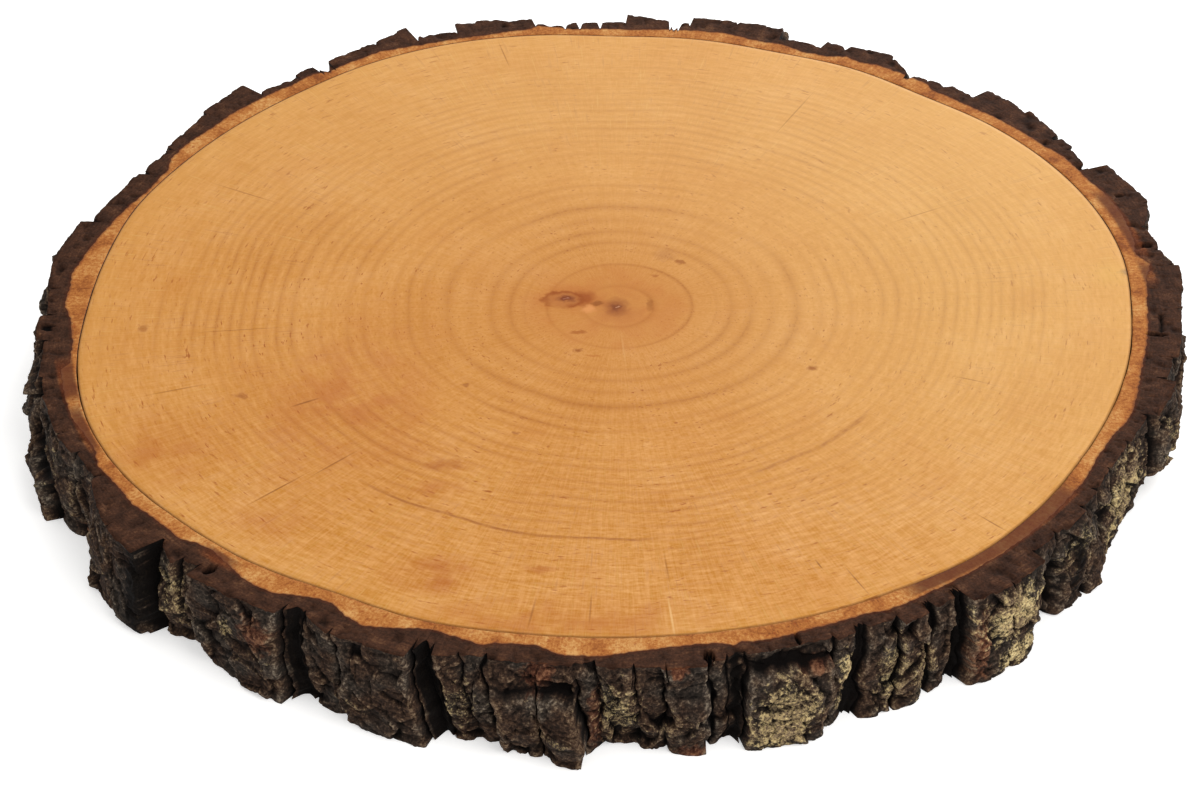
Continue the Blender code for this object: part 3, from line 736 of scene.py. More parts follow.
# painted shade: hollows and fissures are mixed towards near black
shade = node(tree, "MapRange", {0: hollow_shade_here, 1: 0.0, 2: 0.7, 3: 0.0, 4: 0.96})
for amount, colour in ((greyness, grey_cork), (redness, red_cork), (crust, lichen_colour),
                       (shade, linear("#070403"))):
    face = node(tree, "Mix", {0: amount, 6: face, 7: colour}, out=2, data_type="RGBA")
tree.links.new(face, shader.inputs["Base Color"])
gritty = node(tree, "Bump", {"Height": grain, "Strength": 0.7, "Distance": 0.35 * MM})
tree.links.new(gritty, shader.inputs["Normal"])
print(rough_bark.name, len(tree.nodes), "nodes")

# %% Sawn outer bark
sawn_outer, tree, shader = new_material("alder_outer_bark_sawn", Roughness=0.75, IOR=1.45,
                                        Specular_IOR_Level=0.04)
grown = node(tree, "Attribute", attribute_name="grown", out="Vector")
rind_here, broken_here, pit_shade_here = (node(tree, "Attribute", attribute_name=name, out="Fac")
                                    for name in ("rind", "broken", "pit_shade"))
tone = grain = node(tree, "TexNoise", {"Vector": grown, "Scale": 1 / 0.7, "Detail": 4.0,
                                       "Roughness": 0.7})
layered = node(tree, "VectorMath", {0: grown, 1: (1 / 5.0, 1.0, 1 / 0.7)}, operation="MULTIPLY")
layers = node(tree, "TexNoise", {"Vector": layered, "Scale": 1.0, "Detail": 1.0})
clouds = node(tree, "TexNoise", {"Vector": grown, "Scale": 1 / 6.0, "Detail": 3.0})
for part, share in ((layers, 0.4), (clouds, 1.2)):
    tone = node(tree, "Math", {0: part, 1: share, 2: tone}, operation="MULTIPLY_ADD")
tone = node(tree, "MapRange", {0: tone, 1: 0.85, 2: 1.75})
cork, red_cork = (node(tree, "ValToRGB", {"Fac": tone}, stops=stops) for stops in (
    ((0.10, "#22130D"), (0.42, "#38241A"), (0.65, "#472D20"), (0.95, "#664630")),
    ((0.15, "#4A2414"), (0.50, "#6E3A20"), (0.90, "#9A6238"))))
redness = node(tree, "Math", {0: broken_here, 1: 0.8}, operation="MULTIPLY")
edge = node(tree, "MapRange", {0: rind_here, 1: 0.0, 2: 1.0, 3: 0.7, 4: 0.0})
# the last mix is painted shade in pits and crumbs of the cut
for amount, colour in ((redness, red_cork), (edge, linear("#4A2416")), (pit_shade_here, linear("#070403"))):
    cork = node(tree, "Mix", {0: amount, 6: cork, 7: colour}, out=2, data_type="RGBA")
tree.links.new(cork, shader.inputs["Base Color"])
gritty = node(tree, "Bump", {"Height": grain, "Strength": 0.6, "Distance": 0.25 * MM})
tree.links.new(gritty, shader.inputs["Normal"])
print(sawn_outer.name, len(tree.nodes), "nodes")

# %% Sawn inner bark
sawn_inner, tree, shader = new_material("alder_inner_bark_sawn", Roughness=0.75, IOR=1.45,
                                        Specular_IOR_Level=0.10)
grown = node(tree, "Attribute", attribute_name="grown", out="Vector")
rind_here, broken_here, pit_shade_here = (node(tree, "Attribute", attribute_name=name, out="Fac")
                                    for name in ("rind", "broken", "pit_shade"))
tone = grit = node(tree, "TexNoise", {"Vector": grown, "Scale": 1 / 0.8, "Detail": 4.0,
                                      "Roughness": 0.7})
outward = node(tree, "VectorMath", {0: grown, 1: (1 / 0.6, 1.0, 1 / 5.0)}, operation="MULTIPLY")
streaks = node(tree, "TexNoise", {"Vector": outward, "Scale": 1.0, "Detail": 1.0})
clouds = node(tree, "TexNoise", {"Vector": grown, "Scale": 1 / 8.0, "Detail": 2.0})
for part, share in ((streaks, 0.25), (clouds, 0.9)):
    tone = node(tree, "Math", {0: part, 1: share, 2: tone}, operation="MULTIPLY_ADD")
tone = node(tree, "MapRange", {0: tone, 1: 0.72, 2: 1.44})
tissue = node(tree, "ValToRGB", {"Fac": tone}, stops=(
    (0.10, "#7A421C"), (0.38, "#9E5E2A"), (0.58, "#B07238"), (0.92, "#C8965A")))
rusty = node(tree, "TexNoise", {"Vector": grown, "Scale": 1 / 1.3, "Detail": 2.0})
rusty = node(tree, "MapRange", {0: rusty, 1: 0.60, 2: 0.70, 3: 0.0, 4: 0.6})
redness = node(tree, "Math", {0: broken_here, 1: 0.85}, operation="MULTIPLY")
edge = node(tree, "MapRange", {0: rind_here, 1: -0.7, 2: 0.0, 3: 0.0, 4: 0.75})
# the last mix is painted shade in pits and crumbs of the cut
for amount, colour in ((rusty, "#8A4018"), (redness, "#552A18"), (edge, "#5F3622"),
                       (pit_shade_here, "#120907")):
    tissue = node(tree, "Mix", {0: amount, 6: tissue, 7: linear(colour)}, out=2, data_type="RGBA")
tree.links.new(tissue, shader.inputs["Base Color"])
gritty = node(tree, "Bump", {"Height": grit, "Strength": 0.4, "Distance": 0.15 * MM})
tree.links.new(gritty, shader.inputs["Normal"])
print(sawn_inner.name, len(tree.nodes), "nodes")

# %% Wall by the wood
inner_wall, tree, shader = new_material("alder_cambium_dried", Roughness=0.8, IOR=1.45)
grown = node(tree, "Attribute", attribute_name="grown", out="Vector")
upright = node(tree, "VectorMath", {0: grown, 1: (1 / 0.8, 1 / 12.0, 1.0)}, operation="MULTIPLY")
fibre = node(tree, "TexNoise", {"Vector": upright, "Scale": 1.0, "Detail": 2.0})
brown = node(tree, "ValToRGB", {"Fac": fibre}, stops=((0.35, "#3A2013"), (0.7, "#6B4126")))
tree.links.new(brown, shader.inputs["Base Color"])
print(inner_wall.name, len(tree.nodes), "nodes")

# %% Make the bark
BARK_LOOKS = (rough_bark, sawn_outer, sawn_inner, inner_wall)
bark_pieces = []
split_at = [int(np.abs(angle - split).argmin()) for split in SPLITS]
for name, start, stop in zip(BARK_NAMES, split_at, split_at[1:] + [split_at[0] + len(angle)]):
    picked = np.arange(start, stop + 1)
    turns = 360.0 * (picked // len(angle))[:, None]
    picked = picked % len(angle)
    columns, around_loop = len(picked), loop_angle.shape[1]
    points = place(loop_angle[picked], loop_reach[picked], loop_height[picked])
    arc = np.radians(loop_angle[picked] + turns) * AROUND
    grown_at = np.stack([arc, loop_height[picked], loop_reach[picked]], -1)
    corner = np.arange(columns * around_loop).reshape(columns, around_loop)
    here, after = corner[:-1], corner[1:]
    quads = np.stack([here, after, np.roll(after, -1, 1), np.roll(here, -1, 1)], -1)
    faces = quads.reshape(-1, 4).tolist() + [corner[0].tolist(), corner[-1][::-1].tolist()]
    looks = np.tile(look_along, columns - 1).tolist() + [OUTER_BARK] * 2
    values = {key: kept[picked].reshape(-1) for key, kept in loop_values.items()}
    values["grown"] = grown_at.reshape(-1, 3)
    bark_pieces.append(make_piece(name, points.reshape(-1, 3), faces, BARK_LOOKS, looks, values,
                                  [False] * (len(faces) - 2) + [True] * 2))

# %% [markdown]
# ## The wood
#
# A tree adds one ring of wood a year. Near the pith the rings are over a centimetre wide, because a
# young alder grows fast, and further out they settle at three to four millimetres. The wood is made
# as rows of points on the rings themselves, two rows to a year, and each point keeps how dark its
# ring's line is there. The material then draws each ring where it grew, on both faces alike.

# %% Rings
FIRST_RINGS = (0.0, 10.3, 21.4, 28.3, 32.6, 38.4, 44.3, 51.4, 58.8, 63.2, 67.6, 72.4, 76.8, 81.2, 85.2)
RING_WIDTHS = ((110.0, 3.9), (154.0, 3.4))   # up to this reach, this wide
OFF_CENTRE = (2.0, 1.8)                      # the middle rings lie this far to the right and the back
RING_SWAY = 1.5                              # and waver by this much
WOOD_COLUMNS = 360
MEAN_REACH = float(wood_reach(rim).mean())
EDGE_BEVEL = 0.25

draw = np.random.default_rng(3)
ring_reach = list(FIRST_RINGS)
while ring_reach[-1] < MEAN_REACH - 1.5:
    width = next(w for limit, w in RING_WIDTHS if ring_reach[-1] < limit)
    ring_reach.append(ring_reach[-1] + width * draw.uniform(0.7, 1.3))
ring_reach = [ring for ring in ring_reach if ring < MEAN_REACH - 1.2]
FADING = (100.0, 145.0)                      # between these reaches the ring lines grow weaker
STRONG_RINGS = {1: 0.8, 2: 0.9, 3: 0.5, 4: 0.8, 5: 0.8, 6: 0.6, 7: 0.9, 8: 0.6, 9: 0.8, 10: 0.6,
                13: 0.8}
ring_strength = draw.uniform(0.45, 0.9, len(ring_reach) + 2)
for ring, strength in STRONG_RINGS.items():
    ring_strength[ring] = strength
ring_strength[0] = 0.0
ring_strength[:len(ring_reach)] *= np.interp(ring_reach, FADING, (0.95, 0.62))
print(len(ring_reach) - 1, "rings, the last at", round(ring_reach[-1], 1), "mm")

# %% Wood rows
WIDE_RINGS = 3                               # first rings, wide, with only a thin line of late wood
LATE_WOOD = (0.86, 0.5)                      # where it starts in a ring: in the first ones, in the rest
EXTRA_ROWS = (0.12, 0.24, 0.36, 1.2, 1.35, 2.25, 1.15, 2.1, 3.15)
RIM_RING = 2.5                               # width that the unfinished ring at the rim would have

whole = np.arange(len(ring_reach), dtype=float)
late_from = np.where(whole[:-1] < WIDE_RINGS, *LATE_WOOD)
knots = np.sort(np.concatenate([whole, whole[:-1] + 0.5]))
knot_reach = np.interp(whole[:-1] + late_from, whole, ring_reach)
knot_reach = np.sort(np.concatenate([ring_reach, knot_reach]))
years = np.unique(np.concatenate([knots, EXTRA_ROWS]))[1:]
row_reach = np.interp(years, knots, knot_reach)
outermost = years[-1] + (MEAN_REACH - row_reach[-1]) / RIM_RING
years = np.append(years, outermost)
growth = np.append(row_reach, MEAN_REACH) / MEAN_REACH
degrees = np.arange(WOOD_COLUMNS) * 360.0 / WOOD_COLUMNS - 180.0
like_outline = smooth(growth)[None, :]
face_reach = growth * ((1 - like_outline) * MEAN_REACH + like_outline * wood_reach(degrees)[:, None])
on_face = place(degrees[:, None], face_reach, 0.0)
off_centre = OFF_CENTRE[0] * np.sin(np.radians(degrees)) - OFF_CENTRE[1] * np.cos(np.radians(degrees))
sway = off_centre[:, None] + RING_SWAY * noise(on_face, 30.0, 70.0)
face_reach = face_reach + np.sin(np.pi * growth) * sway
near_ring = 1.0 - 2.0 * np.abs(years - np.round(years))
near_ring = np.where((years < WIDE_RINGS) & (near_ring < 1.0) & (years % 1.0 < 0.5), 0.0, near_ring)
ring_line = ring_strength[np.round(years).astype(int)] * near_ring
ring_line = ring_line * np.clip(0.9 + 0.45 * noise(on_face, 26.0, 71.0), 0.4, 1.4)
print(len(years), "rows on each face")

# %% [markdown]
# ## The finish of the wood
#
# Alder that is sawn across and sanded looks warm orange tan and nearly without gloss, because the cut
# ends of its fine vessels scatter the light. Its rays run outward as fine strokes, some pale and some
# dark, late wood leaves a brown line in each ring, and small flecks mark old wounds. Rays and flecks
# are a tenth or two of a millimetre wide, too fine for this picture, so they are drawn several times
# coarser. All of it is measured in millimetres from the pith, and a stroke is stretched noise.

# %% Patterns of the wood
STROKES = (                                  # strokes per radian, and length outwards in millimetres
    (34.0, 0.9), (190.0, 12.0), (90.0, 8.0), (34.0, 0.8),
)
sawn_wood, tree, shader = new_material("alder_sawn_sanded", IOR=1.5, Specular_IOR_Level=0.06)
from_pith = node(tree, "Attribute", attribute_name="from_pith", out="Vector")
growth_here = node(tree, "Attribute", attribute_name="growth", out="Fac")
away = node(tree, "VectorMath", {0: from_pith}, out="Value", operation="LENGTH")
direction = node(tree, "VectorMath", {0: from_pith}, operation="NORMALIZE")

patches, stains, fine = (
    node(tree, "TexNoise", {"Vector": from_pith, "Scale": 1 / size, "Detail": detail})
    for size, detail in ((38.0, 3.0), (11.0, 4.0), (0.8, 2.0)))
strokes = []
for fan, length in STROKES:
    spread = node(tree, "VectorMath", {0: direction, 1: (fan, fan, 0.0)}, operation="MULTIPLY")
    outward = node(tree, "Math", {0: away, 1: length}, operation="DIVIDE")
    outward = node(tree, "CombineXYZ", {2: outward})
    spread = node(tree, "VectorMath", {0: spread, 1: outward}, operation="ADD")
    strokes.append(node(tree, "TexNoise", {"Vector": spread, "Scale": 1.0, "Detail": 2.0}))
across, outer_rays, inner_rays, speck = strokes
outer_half = node(tree, "MapRange", {0: away, 1: 55.0, 2: 80.0})
ray = node(tree, "Mix", {0: outer_half, 2: inner_rays, 3: outer_rays}, data_type="FLOAT")
print(len(STROKES), "kinds of strokes")

# %% Colours of the wood
tint, figure = 0.0, -1.1
for part, share in ((patches, 0.6), (stains, 0.4)):
    tint = node(tree, "Math", {0: part, 1: share, 2: tint}, operation="MULTIPLY_ADD")
for part, share in ((across, 0.9), (ray, 0.9), (fine, 0.4)):
    figure = node(tree, "Math", {0: part, 1: share, 2: figure}, operation="MULTIPLY_ADD")
tint = node(tree, "MapRange", {0: tint, 1: 0.2, 2: 0.8})
deep_wood, pale_wood = (node(tree, "ValToRGB", {"Fac": tint}, stops=stops) for stops in (
    ((0.1, "#AC6C1D"), (0.5, "#B67728"), (0.9, "#BE8238")),
    ((0.1, "#CA8D4D"), (0.5, "#D3995A"), (0.9, "#DAA46B"))))
to_front = node(tree, "SeparateXYZ", {0: from_pith}, out="Y")
gain = node(tree, "MapRange", {0: to_front, 1: -20.0, 2: -120.0, 3: 1.0, 4: 1.9})
figure = node(tree, "Math", {0: figure, 1: gain, 2: 0.5}, operation="MULTIPLY_ADD", use_clamp=True)
wood = node(tree, "Mix", {0: figure, 6: deep_wood, 7: pale_wood}, out=2, data_type="RGBA")
warmth = node(tree, "TexNoise", {"Vector": from_pith, "Scale": 1 / 22.0, "Detail": 3.0,
                                 "Distortion": 0.6})
warmth = node(tree, "MapRange", {0: warmth, 1: 0.56, 2: 0.72, 3: 0.0, 4: 0.2})
core = node(tree, "MapRange", {0: away, 1: 14.0, 2: 70.0, 3: 0.36, 4: 0.0})
sapwood = node(tree, "MapRange", {0: growth_here, 1: 0.925, 2: 0.965, 3: 0.0, 4: 0.16})
for amount, colour in ((warmth, "#B26A26"), (core, "#AE6E2C"), (sapwood, "#CE9850")):
    wood = node(tree, "Mix", {0: amount, 6: wood, 7: linear(colour)}, out=2, data_type="RGBA")
print("wood colours, centre to sapwood, are set")

# %% Rings, rays and flecks in the finish
RING_CONTRAST = 0.52
line_here = node(tree, "Attribute", attribute_name="ring_line", out="Fac")
late = node(tree, "Math", {0: line_here, 1: 1.8}, operation="POWER")
late = node(tree, "Math", {0: late, 1: RING_CONTRAST}, operation="MULTIPLY")
frayed = node(tree, "MapRange", {0: across, 1: 0.35, 2: 0.65, 3: 0.45, 4: 1.35})
late = node(tree, "Math", {0: late, 1: frayed}, operation="MULTIPLY", use_clamp=True)
hatching = node(tree, "MapRange", {0: stains, 1: 0.42, 2: 0.60, 3: 0.04, 4: 0.34})
from_core = node(tree, "MapRange", {0: away, 1: 30.0, 2: 95.0})
hatching = node(tree, "Math", {0: hatching, 1: from_core}, operation="MULTIPLY")
dark_ray = node(tree, "MapRange", {0: ray, 1: 0.56, 2: 0.70})
dark_ray = node(tree, "Math", {0: dark_ray, 1: hatching}, operation="MULTIPLY")
pale_ray = node(tree, "MapRange", {0: ray, 1: 0.40, 2: 0.28, 3: 0.0, 4: 0.22})
pale_ray = node(tree, "Math", {0: pale_ray, 1: from_core}, operation="MULTIPLY")
clusters = node(tree, "MapRange", {0: stains, 1: 0.46, 2: 0.60, 3: 0.25, 4: 0.80})
fleck = node(tree, "MapRange", {0: speck, 1: 0.62, 2: 0.73})
fleck = node(tree, "Math", {0: fleck, 1: clusters}, operation="MULTIPLY")
for amount, colour in ((late, "#8E4900"), (dark_ray, "#8A4C0C"), (pale_ray, "#E6BC7C"),
                       (fleck, "#924A18")):
    wood = node(tree, "Mix", {0: amount, 6: wood, 7: linear(colour)}, out=2, data_type="RGBA")
print("rings, rays and flecks are set")

# %% [markdown]
# ## Marks on the wood
#
# Every slice has marks of its own: here two piths where the young trunk forked, small scars, brown
# stains, two dark arcs and hair-thin cracks. Two broad pale patches, on the right of the pith and
# behind it, are painted light: the face is drawn paler where the lamp behind on the right falls. Each
# is listed by its place and size, and drawn as a soft spot, an arc or a line whose outline is bent a
# little by noise. A crack with a negative strength is pale, because sanding dust fills it.

# %% Piths, scars, stains and painted light
# The first two marks are painted light: broad pale patches on the right and at the back.
MARKS = (                                    # right and back of the pith, half width and depth, blur,
    (112.0, 22.0, 62.0, 110.0, 1.4, 0.20, "#E2C278"),                                 # strength, colour
    (0.0, 115.0, 150.0, 60.0, 1.6, 0.17, "#E4C080"), (-77.0, -46.0, 13.0, 11.0, 1.0, 0.20, "#A8582C"),
    (-6.0, 0.8, 24.0, 18.0, 0.9, 0.25, "#B4703A"), (-1.5, 0.0, 22.5, 22.0, 0.2, 0.22, "#AE6422"),
    (0.0, 0.0, 6.4, 6.4, 1.0, 0.45, "#A4622C"), (-0.2, 0.0, 3.2, 3.8, 0.9, 0.72, "#86461E"),
    (-0.2, -0.1, 1.4, 1.5, 0.7, 0.65, "#6A3012"), (0.1, 0.0, 0.45, 0.5, 0.5, 0.75, "#B4805C"),
    (-14.0, 4.0, 9.6, 6.6, 1.0, 0.45, "#AC6428"), (-10.2, 4.6, 3.4, 3.4, 0.9, 0.75, "#8A3E08"),
    (-16.0, 3.8, 6.2, 4.6, 0.22, 0.65, "#8A420C"), (-16.0, 3.8, 4.9, 3.3, 0.4, 0.75, "#AE6C34"),
    (-15.0, 4.2, 2.3, 1.7, 0.8, 0.85, "#6A2A10"), (-14.8, 4.2, 0.7, 0.4, 0.6, 0.65, "#A87458"),
    (-5.7, 1.9, 1.7, 0.9, 0.8, 0.7, "#7E420E"), (-8.4, -0.9, 1.9, 1.7, 0.8, 0.6, "#D48E54"),
    (9.7, 1.2, 0.9, 2.8, 0.9, 0.55, "#8A4C14"), (-11.4, -13.0, 2.3, 0.8, 0.8, 0.6, "#8E4408"),
    (-11.4, -21.7, 1.2, 0.8, 0.9, 0.7, "#823E06"), (-7.0, -24.8, 1.8, 0.6, 0.9, 0.45, "#9E5010"),
    (11.5, 16.0, 1.1, 0.7, 0.9, 0.55, "#8E4408"), (14.6, 27.0, 3.0, 2.6, 1.0, 0.4, "#A06838"),
    (18.9, 23.6, 1.5, 1.1, 0.8, 0.6, "#823E06"), (56.2, -30.5, 1.4, 1.0, 0.9, 0.7, "#823E06"),
    (-43.6, -38.6, 1.0, 0.9, 0.9, 0.6, "#8A4B20"), (-28.8, -61.8, 1.0, 0.8, 0.9, 0.6, "#8A4B20"),
    (-47.5, -77.0, 5.6, 2.6, 1.0, 0.45, "#9A5018"), (-80.0, -54.0, 27.0, 30.0, 1.0, 0.24, "#A85A28"),
    (-128.5, -69.6, 11.0, 15.0, 1.0, 0.36, "#A4561F"), (-15.0, -144.0, 34.0, 8.0, 1.0, 0.34, "#A4561F"),
    (-48.0, -125.0, 12.0, 7.0, 1.0, 0.45, "#A05018"), (-49.5, -87.0, 6.0, 3.5, 1.0, 0.3, "#A05018"),
    (-21.0, -123.0, 3.6, 1.3, 0.9, 0.45, "#9A4A10"), (-95.0, -100.0, 12.0, 9.0, 1.0, 0.25, "#A4561F"),
    (-107.9, -44.1, 1.8, 1.4, 0.9, 0.6, "#8A4B20"), (-138.6, -11.2, 1.2, 1.6, 0.9, 0.5, "#8A4B20"),
    (-70.0, -20.0, 16.0, 22.0, 1.0, 0.18, "#A85C28"),
    (152.6, 17.6, 2.4, 1.8, 0.9, 0.6, "#7A5C44"), (147.5, 17.0, 5.0, 6.0, 1.0, 0.14, "#D8B45C"),
)
STAIN = (5.0, 60.0)                          # marks between these widths are stains, and are mottled
MARK_BEND = 3.2                              # how far, in millimetres, noise pushes the marks' outlines

bend = node(tree, "TexNoise", {"Vector": from_pith, "Scale": 1 / 2.2, "Detail": 2.0}, out="Color")
bend = node(tree, "VectorMath", {0: bend, 1: (0.5, 0.5, 0.5)}, operation="SUBTRACT")
bend = node(tree, "VectorMath", {0: bend, 1: (MARK_BEND, MARK_BEND, 0.0)}, operation="MULTIPLY")
bent = node(tree, "VectorMath", {0: from_pith, 1: bend}, operation="ADD")
mottled = node(tree, "MapRange", {0: stains, 1: 0.42, 2: 0.58, 3: 0.35, 4: 1.35})
for right, back, half_width, half_depth, blur, strength, colour in MARKS:
    apart = node(tree, "VectorMath", {0: bent, 1: (right, back, 0.0)}, operation="SUBTRACT")
    apart = node(tree, "VectorMath", {0: apart, 1: (1 / half_width, 1 / half_depth, 0.0)},
                 operation="MULTIPLY")
    apart = node(tree, "VectorMath", {0: apart}, out="Value", operation="LENGTH")
    inside = node(tree, "MapRange", {0: apart, 1: 1.0 + blur / 2, 2: 1.0 - blur / 2,
                                     3: 0.0, 4: strength})
    if STAIN[0] < half_width < STAIN[1]:
        inside = node(tree, "Math", {0: inside, 1: mottled}, operation="MULTIPLY")
    wood = node(tree, "Mix", {0: inside, 6: wood, 7: linear(colour)}, out=2, data_type="RGBA")
print(len(MARKS), "marks")

# %% Dark arcs
DARK_ARCS = (                                # middle angle, cosine of half the span, reach, half width,
    (-17.0, 0.91, 109.6, 0.55, 0.5),         # strength
    (39.0, 0.965, 88.4, 0.7, 0.4),
)
LINE_DRIFT = 6.0                             # how far, in millimetres, the arcs drift off their reach

drift = node(tree, "Math", {0: patches, 1: LINE_DRIFT, 2: -LINE_DRIFT / 2}, operation="MULTIPLY_ADD")
drifted = node(tree, "Math", {0: away, 1: drift}, operation="ADD")
for middle, limit, reached, half_width, strength in DARK_ARCS:
    turn = math.radians(middle)
    off = node(tree, "Math", {0: drifted, 1: reached}, operation="SUBTRACT")
    off = node(tree, "Math", {0: off}, operation="ABSOLUTE")
    inside = node(tree, "MapRange", {0: off, 1: 1.6 * half_width, 2: 0.4 * half_width,
                                     3: 0.0, 4: strength})
    facing = node(tree, "VectorMath", {0: direction, 1: (math.sin(turn), -math.cos(turn), 0.0)},
                  out="Value", operation="DOT_PRODUCT")
    facing = node(tree, "MapRange", {0: facing, 1: limit, 2: 0.6 * limit + 0.4})
    inside = node(tree, "Math", {0: inside, 1: facing}, operation="MULTIPLY")
    inside = node(tree, "Math", {0: inside, 1: frayed}, operation="MULTIPLY")
    wood = node(tree, "Mix", {0: inside, 6: wood, 7: linear("#824010")}, out=2, data_type="RGBA")
print(len(DARK_ARCS), "arcs")

# %% Cracks and the rim
CHECKS = (                                   # angle, reach at the start and end, half width, strength
    (24.2, 130.1, 134.0, 0.22, 0.7), (26.7, 138.0, 148.0, 0.22, 0.6), (-165.7, 140.0, 151.8, 0.2, 0.5),
    (-62.1, 97.0, 104.5, 0.35, 0.6), (-47.2, 121.0, 137.0, 0.25, 0.6), (-46.3, 103.0, 116.0, 0.25, 0.55),
    (45.0, 141.0, 149.0, 0.22, 0.6), (6.1, 118.0, 128.0, 0.25, 0.35), (-3.1, 134.0, 144.0, 0.25, 0.4),
    (-9.3, 138.0, 148.0, 0.3, 0.4), (5.0, 15.0, 29.0, 0.3, -0.12), (70.4, 104.0, 112.0, 0.25, 0.4),
    (118.0, 96.0, 112.0, 0.2, 0.4), (152.0, 110.0, 131.0, 0.2, 0.4), (-118.0, 120.0, 138.0, 0.25, 0.4),
    (-84.0, 100.0, 122.0, 0.2, 0.4), (-72.0, 126.0, 140.0, 0.25, 0.45), (5.6, 136.0, 151.0, 0.3, -0.35),
)

for at_angle, start, end, half_width, strength in CHECKS:
    turn = math.radians(at_angle)
    outward = node(tree, "VectorMath", {0: bent, 1: (math.sin(turn), -math.cos(turn), 0.0)},
                   out="Value", operation="DOT_PRODUCT")
    sideways = node(tree, "VectorMath", {0: from_pith, 1: (math.cos(turn), math.sin(turn), 0.0)},
                    out="Value", operation="DOT_PRODUCT")
    outward = node(tree, "Math", {0: outward, 1: (start + end) / 2}, operation="SUBTRACT")
    spread = node(tree, "CombineXYZ", {0: sideways, 1: outward})
    spread = node(tree, "VectorMath", {0: spread, 1: (1 / half_width, 2 / (end - start), 0.0)},
                  operation="MULTIPLY")
    spread = node(tree, "VectorMath", {0: spread}, out="Value", operation="LENGTH")
    inside = node(tree, "MapRange", {0: spread, 1: 1.5, 2: 0.4, 3: 0.0, 4: abs(strength)})
    shade = "#6E3A18" if strength > 0 else "#EBC78C"
    wood = node(tree, "Mix", {0: inside, 6: wood, 7: linear(shade)}, out=2, data_type="RGBA")
rim_line = node(tree, "MapRange", {0: growth_here, 1: 0.9975, 2: 1.0, 3: 0.0, 4: 0.45})
wood = node(tree, "Mix", {0: rim_line, 6: wood, 7: linear("#7A4A28")}, out=2, data_type="RGBA")
tree.links.new(wood, shader.inputs["Base Color"])
dull = node(tree, "MapRange", {0: fine, 1: 0.3, 2: 0.7, 3: 0.42, 4: 0.56})
tree.links.new(dull, shader.inputs["Roughness"])
texture = node(tree, "Bump", {"Height": fine, "Strength": 0.25, "Distance": 0.05 * MM})
tree.links.new(texture, shader.inputs["Normal"])
print(sawn_wood.name, len(tree.nodes), "nodes")

# %% Make the wood
last_reach = face_reach[:, -1:]
top_rows = face_reach[:, :-1]
profile_reach = np.concatenate([top_rows, last_reach - EDGE_BEVEL, last_reach, last_reach,
                                last_reach - EDGE_BEVEL, top_rows[:, ::-1]], axis=1)
flat_row = np.full(len(years) - 1, THICKNESS)
profile_height = np.concatenate([flat_row, [THICKNESS, THICKNESS - EDGE_BEVEL, EDGE_BEVEL, 0.0],
                                 flat_row * 0.0])
edge_line = np.zeros((WOOD_COLUMNS, 4))
profile_line = np.concatenate([ring_line[:, :-1], edge_line, ring_line[:, -2::-1]], axis=1)
profile_growth = np.concatenate([growth[:-1], [growth[-1]] * 4, growth[:-1][::-1]])
shape = profile_reach.shape
wood_points = place(degrees[:, None], profile_reach, np.broadcast_to(profile_height, shape))
centres = np.array([(0.0, 0.0, THICKNESS), (0.0, 0.0, 0.0)])
wood_points = np.concatenate([wood_points.reshape(-1, 3), centres])
corner = np.arange(shape[0] * shape[1]).reshape(shape)
after = np.roll(corner, -1, axis=0)
quads = np.stack([corner[:, :-1], corner[:, 1:], after[:, 1:], after[:, :-1]], -1)
faces = quads.reshape(-1, 4).tolist()
top_pith, foot_pith = shape[0] * shape[1], shape[0] * shape[1] + 1
faces += [(top_pith, a, b) for a, b in zip(corner[:, 0].tolist(), after[:, 0].tolist())]
faces += [(foot_pith, b, a) for a, b in zip(corner[:, -1].tolist(), after[:, -1].tolist())]
wood_values = {
    "ring_line": np.append(profile_line.ravel(), (0.0, 0.0)),
    "growth": np.append(np.broadcast_to(profile_growth, shape).ravel(), (0.0, 0.0)),
    "from_pith": wood_points * (1.0, 1.0, 0.0),
}
wood_piece = make_piece("wood_slice", wood_points, faces, (sawn_wood,), [0] * len(faces),
                        wood_values, [False] * len(faces))

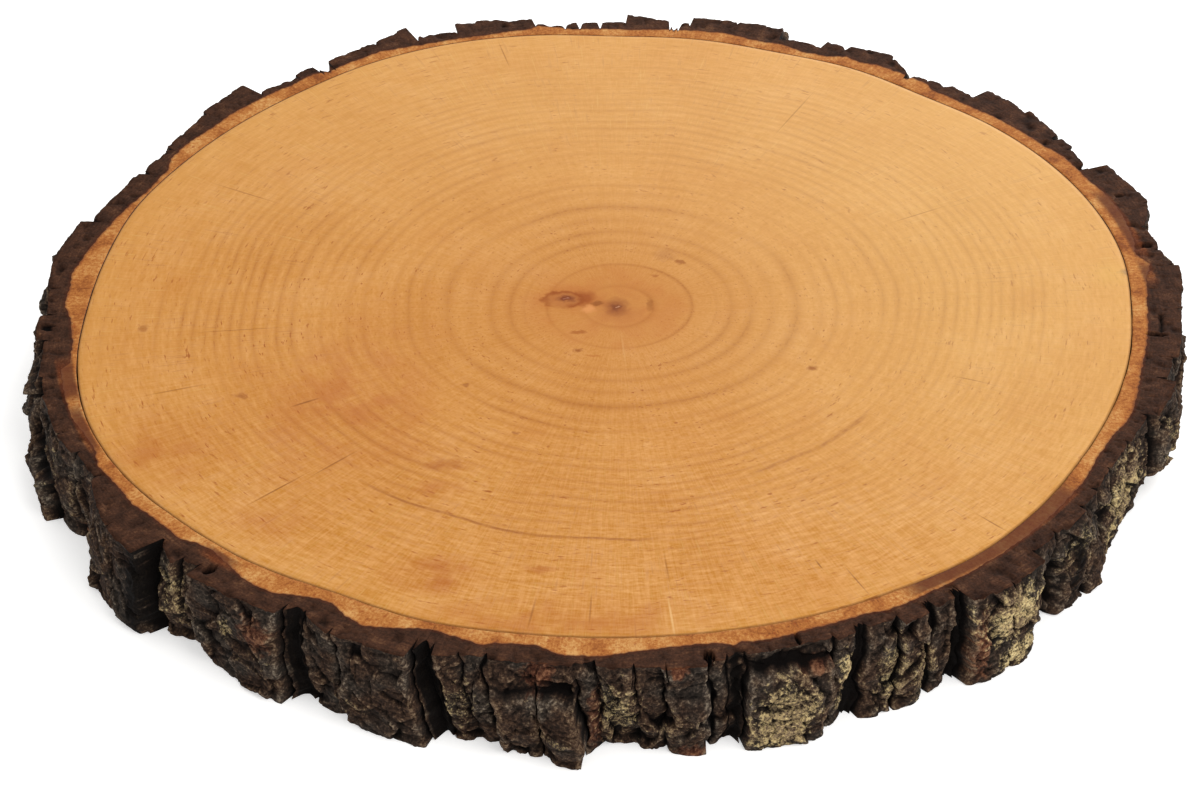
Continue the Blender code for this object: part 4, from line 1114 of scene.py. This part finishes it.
# %% [markdown]
# ## Floor and light
#
# The slice lies on a white sheet that glows faintly, as on a product table, so that no grey shadow
# falls round it. A white sky lights it evenly, and two large soft lamps help: one behind on the right
# gives the wood its faint sheen there, and one in front on the right lights the faces of the bark.

# %% Floor and lamps
FLOOR_SIZE = 6000.0
SHEET_GLOW = 0.42
SKY_STRENGTH = 0.79

floor_mesh = bpy.data.meshes.new("floor")
half = FLOOR_SIZE / 2 * MM
floor_mesh.from_pydata([(-half, -half, cad_low.z), (half, -half, cad_low.z), (half, half, cad_low.z),
                        (-half, half, cad_low.z)], [], [(0, 1, 2, 3)])
pale_floor, tree, shader = new_material("opal_acrylic_lit_from_below", Roughness=0.9,
                                        Emission_Strength=SHEET_GLOW)
shader.inputs["Base Color"].default_value = linear("#F4F3F1")
shader.inputs["Emission Color"].default_value = linear("#FFFFFF")
floor_mesh.materials.append(pale_floor)
floor = bpy.data.objects.new("floor", floor_mesh)
bpy.context.scene.collection.objects.link(floor)

sky = bpy.data.worlds.new("sky")
sky.use_nodes = True
sky.node_tree.nodes["Background"].inputs["Color"].default_value = linear("#FFFFFF")
sky.node_tree.nodes["Background"].inputs["Strength"].default_value = SKY_STRENGTH
bpy.context.scene.world = sky
bpy.context.scene.view_settings.view_transform = "Standard"

LAMPS = (                                    # place from the pith in mm, size in mm, watts
    ((380.0, 900.0, 420.0), 700.0, 6.5),
    ((600.0, -700.0, 1100.0), 900.0, 8.5),
)
for number, (spot, size, watts) in enumerate(LAMPS):
    lamp = bpy.data.objects.new(f"lamp_{number}", bpy.data.lights.new(f"lamp_{number}", "AREA"))
    lamp.data.size = size * MM
    lamp.data.energy = watts
    lamp.location = PITH + Vector(spot) * MM
    lamp.rotation_euler = (-Vector(spot)).to_track_quat("-Z", "Y").to_euler()
    bpy.context.scene.collection.objects.link(lamp)
print(len(LAMPS), "lamps")

# %% [markdown]
# ## Join the pieces to the frame
#
# Each piece is tied to the frame's one body and takes the place of the plain solid that it dresses.

# %% Finish
for piece in bark_pieces:
    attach(piece, "root")
    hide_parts("bark")
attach(wood_piece, "root")
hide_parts("wood")
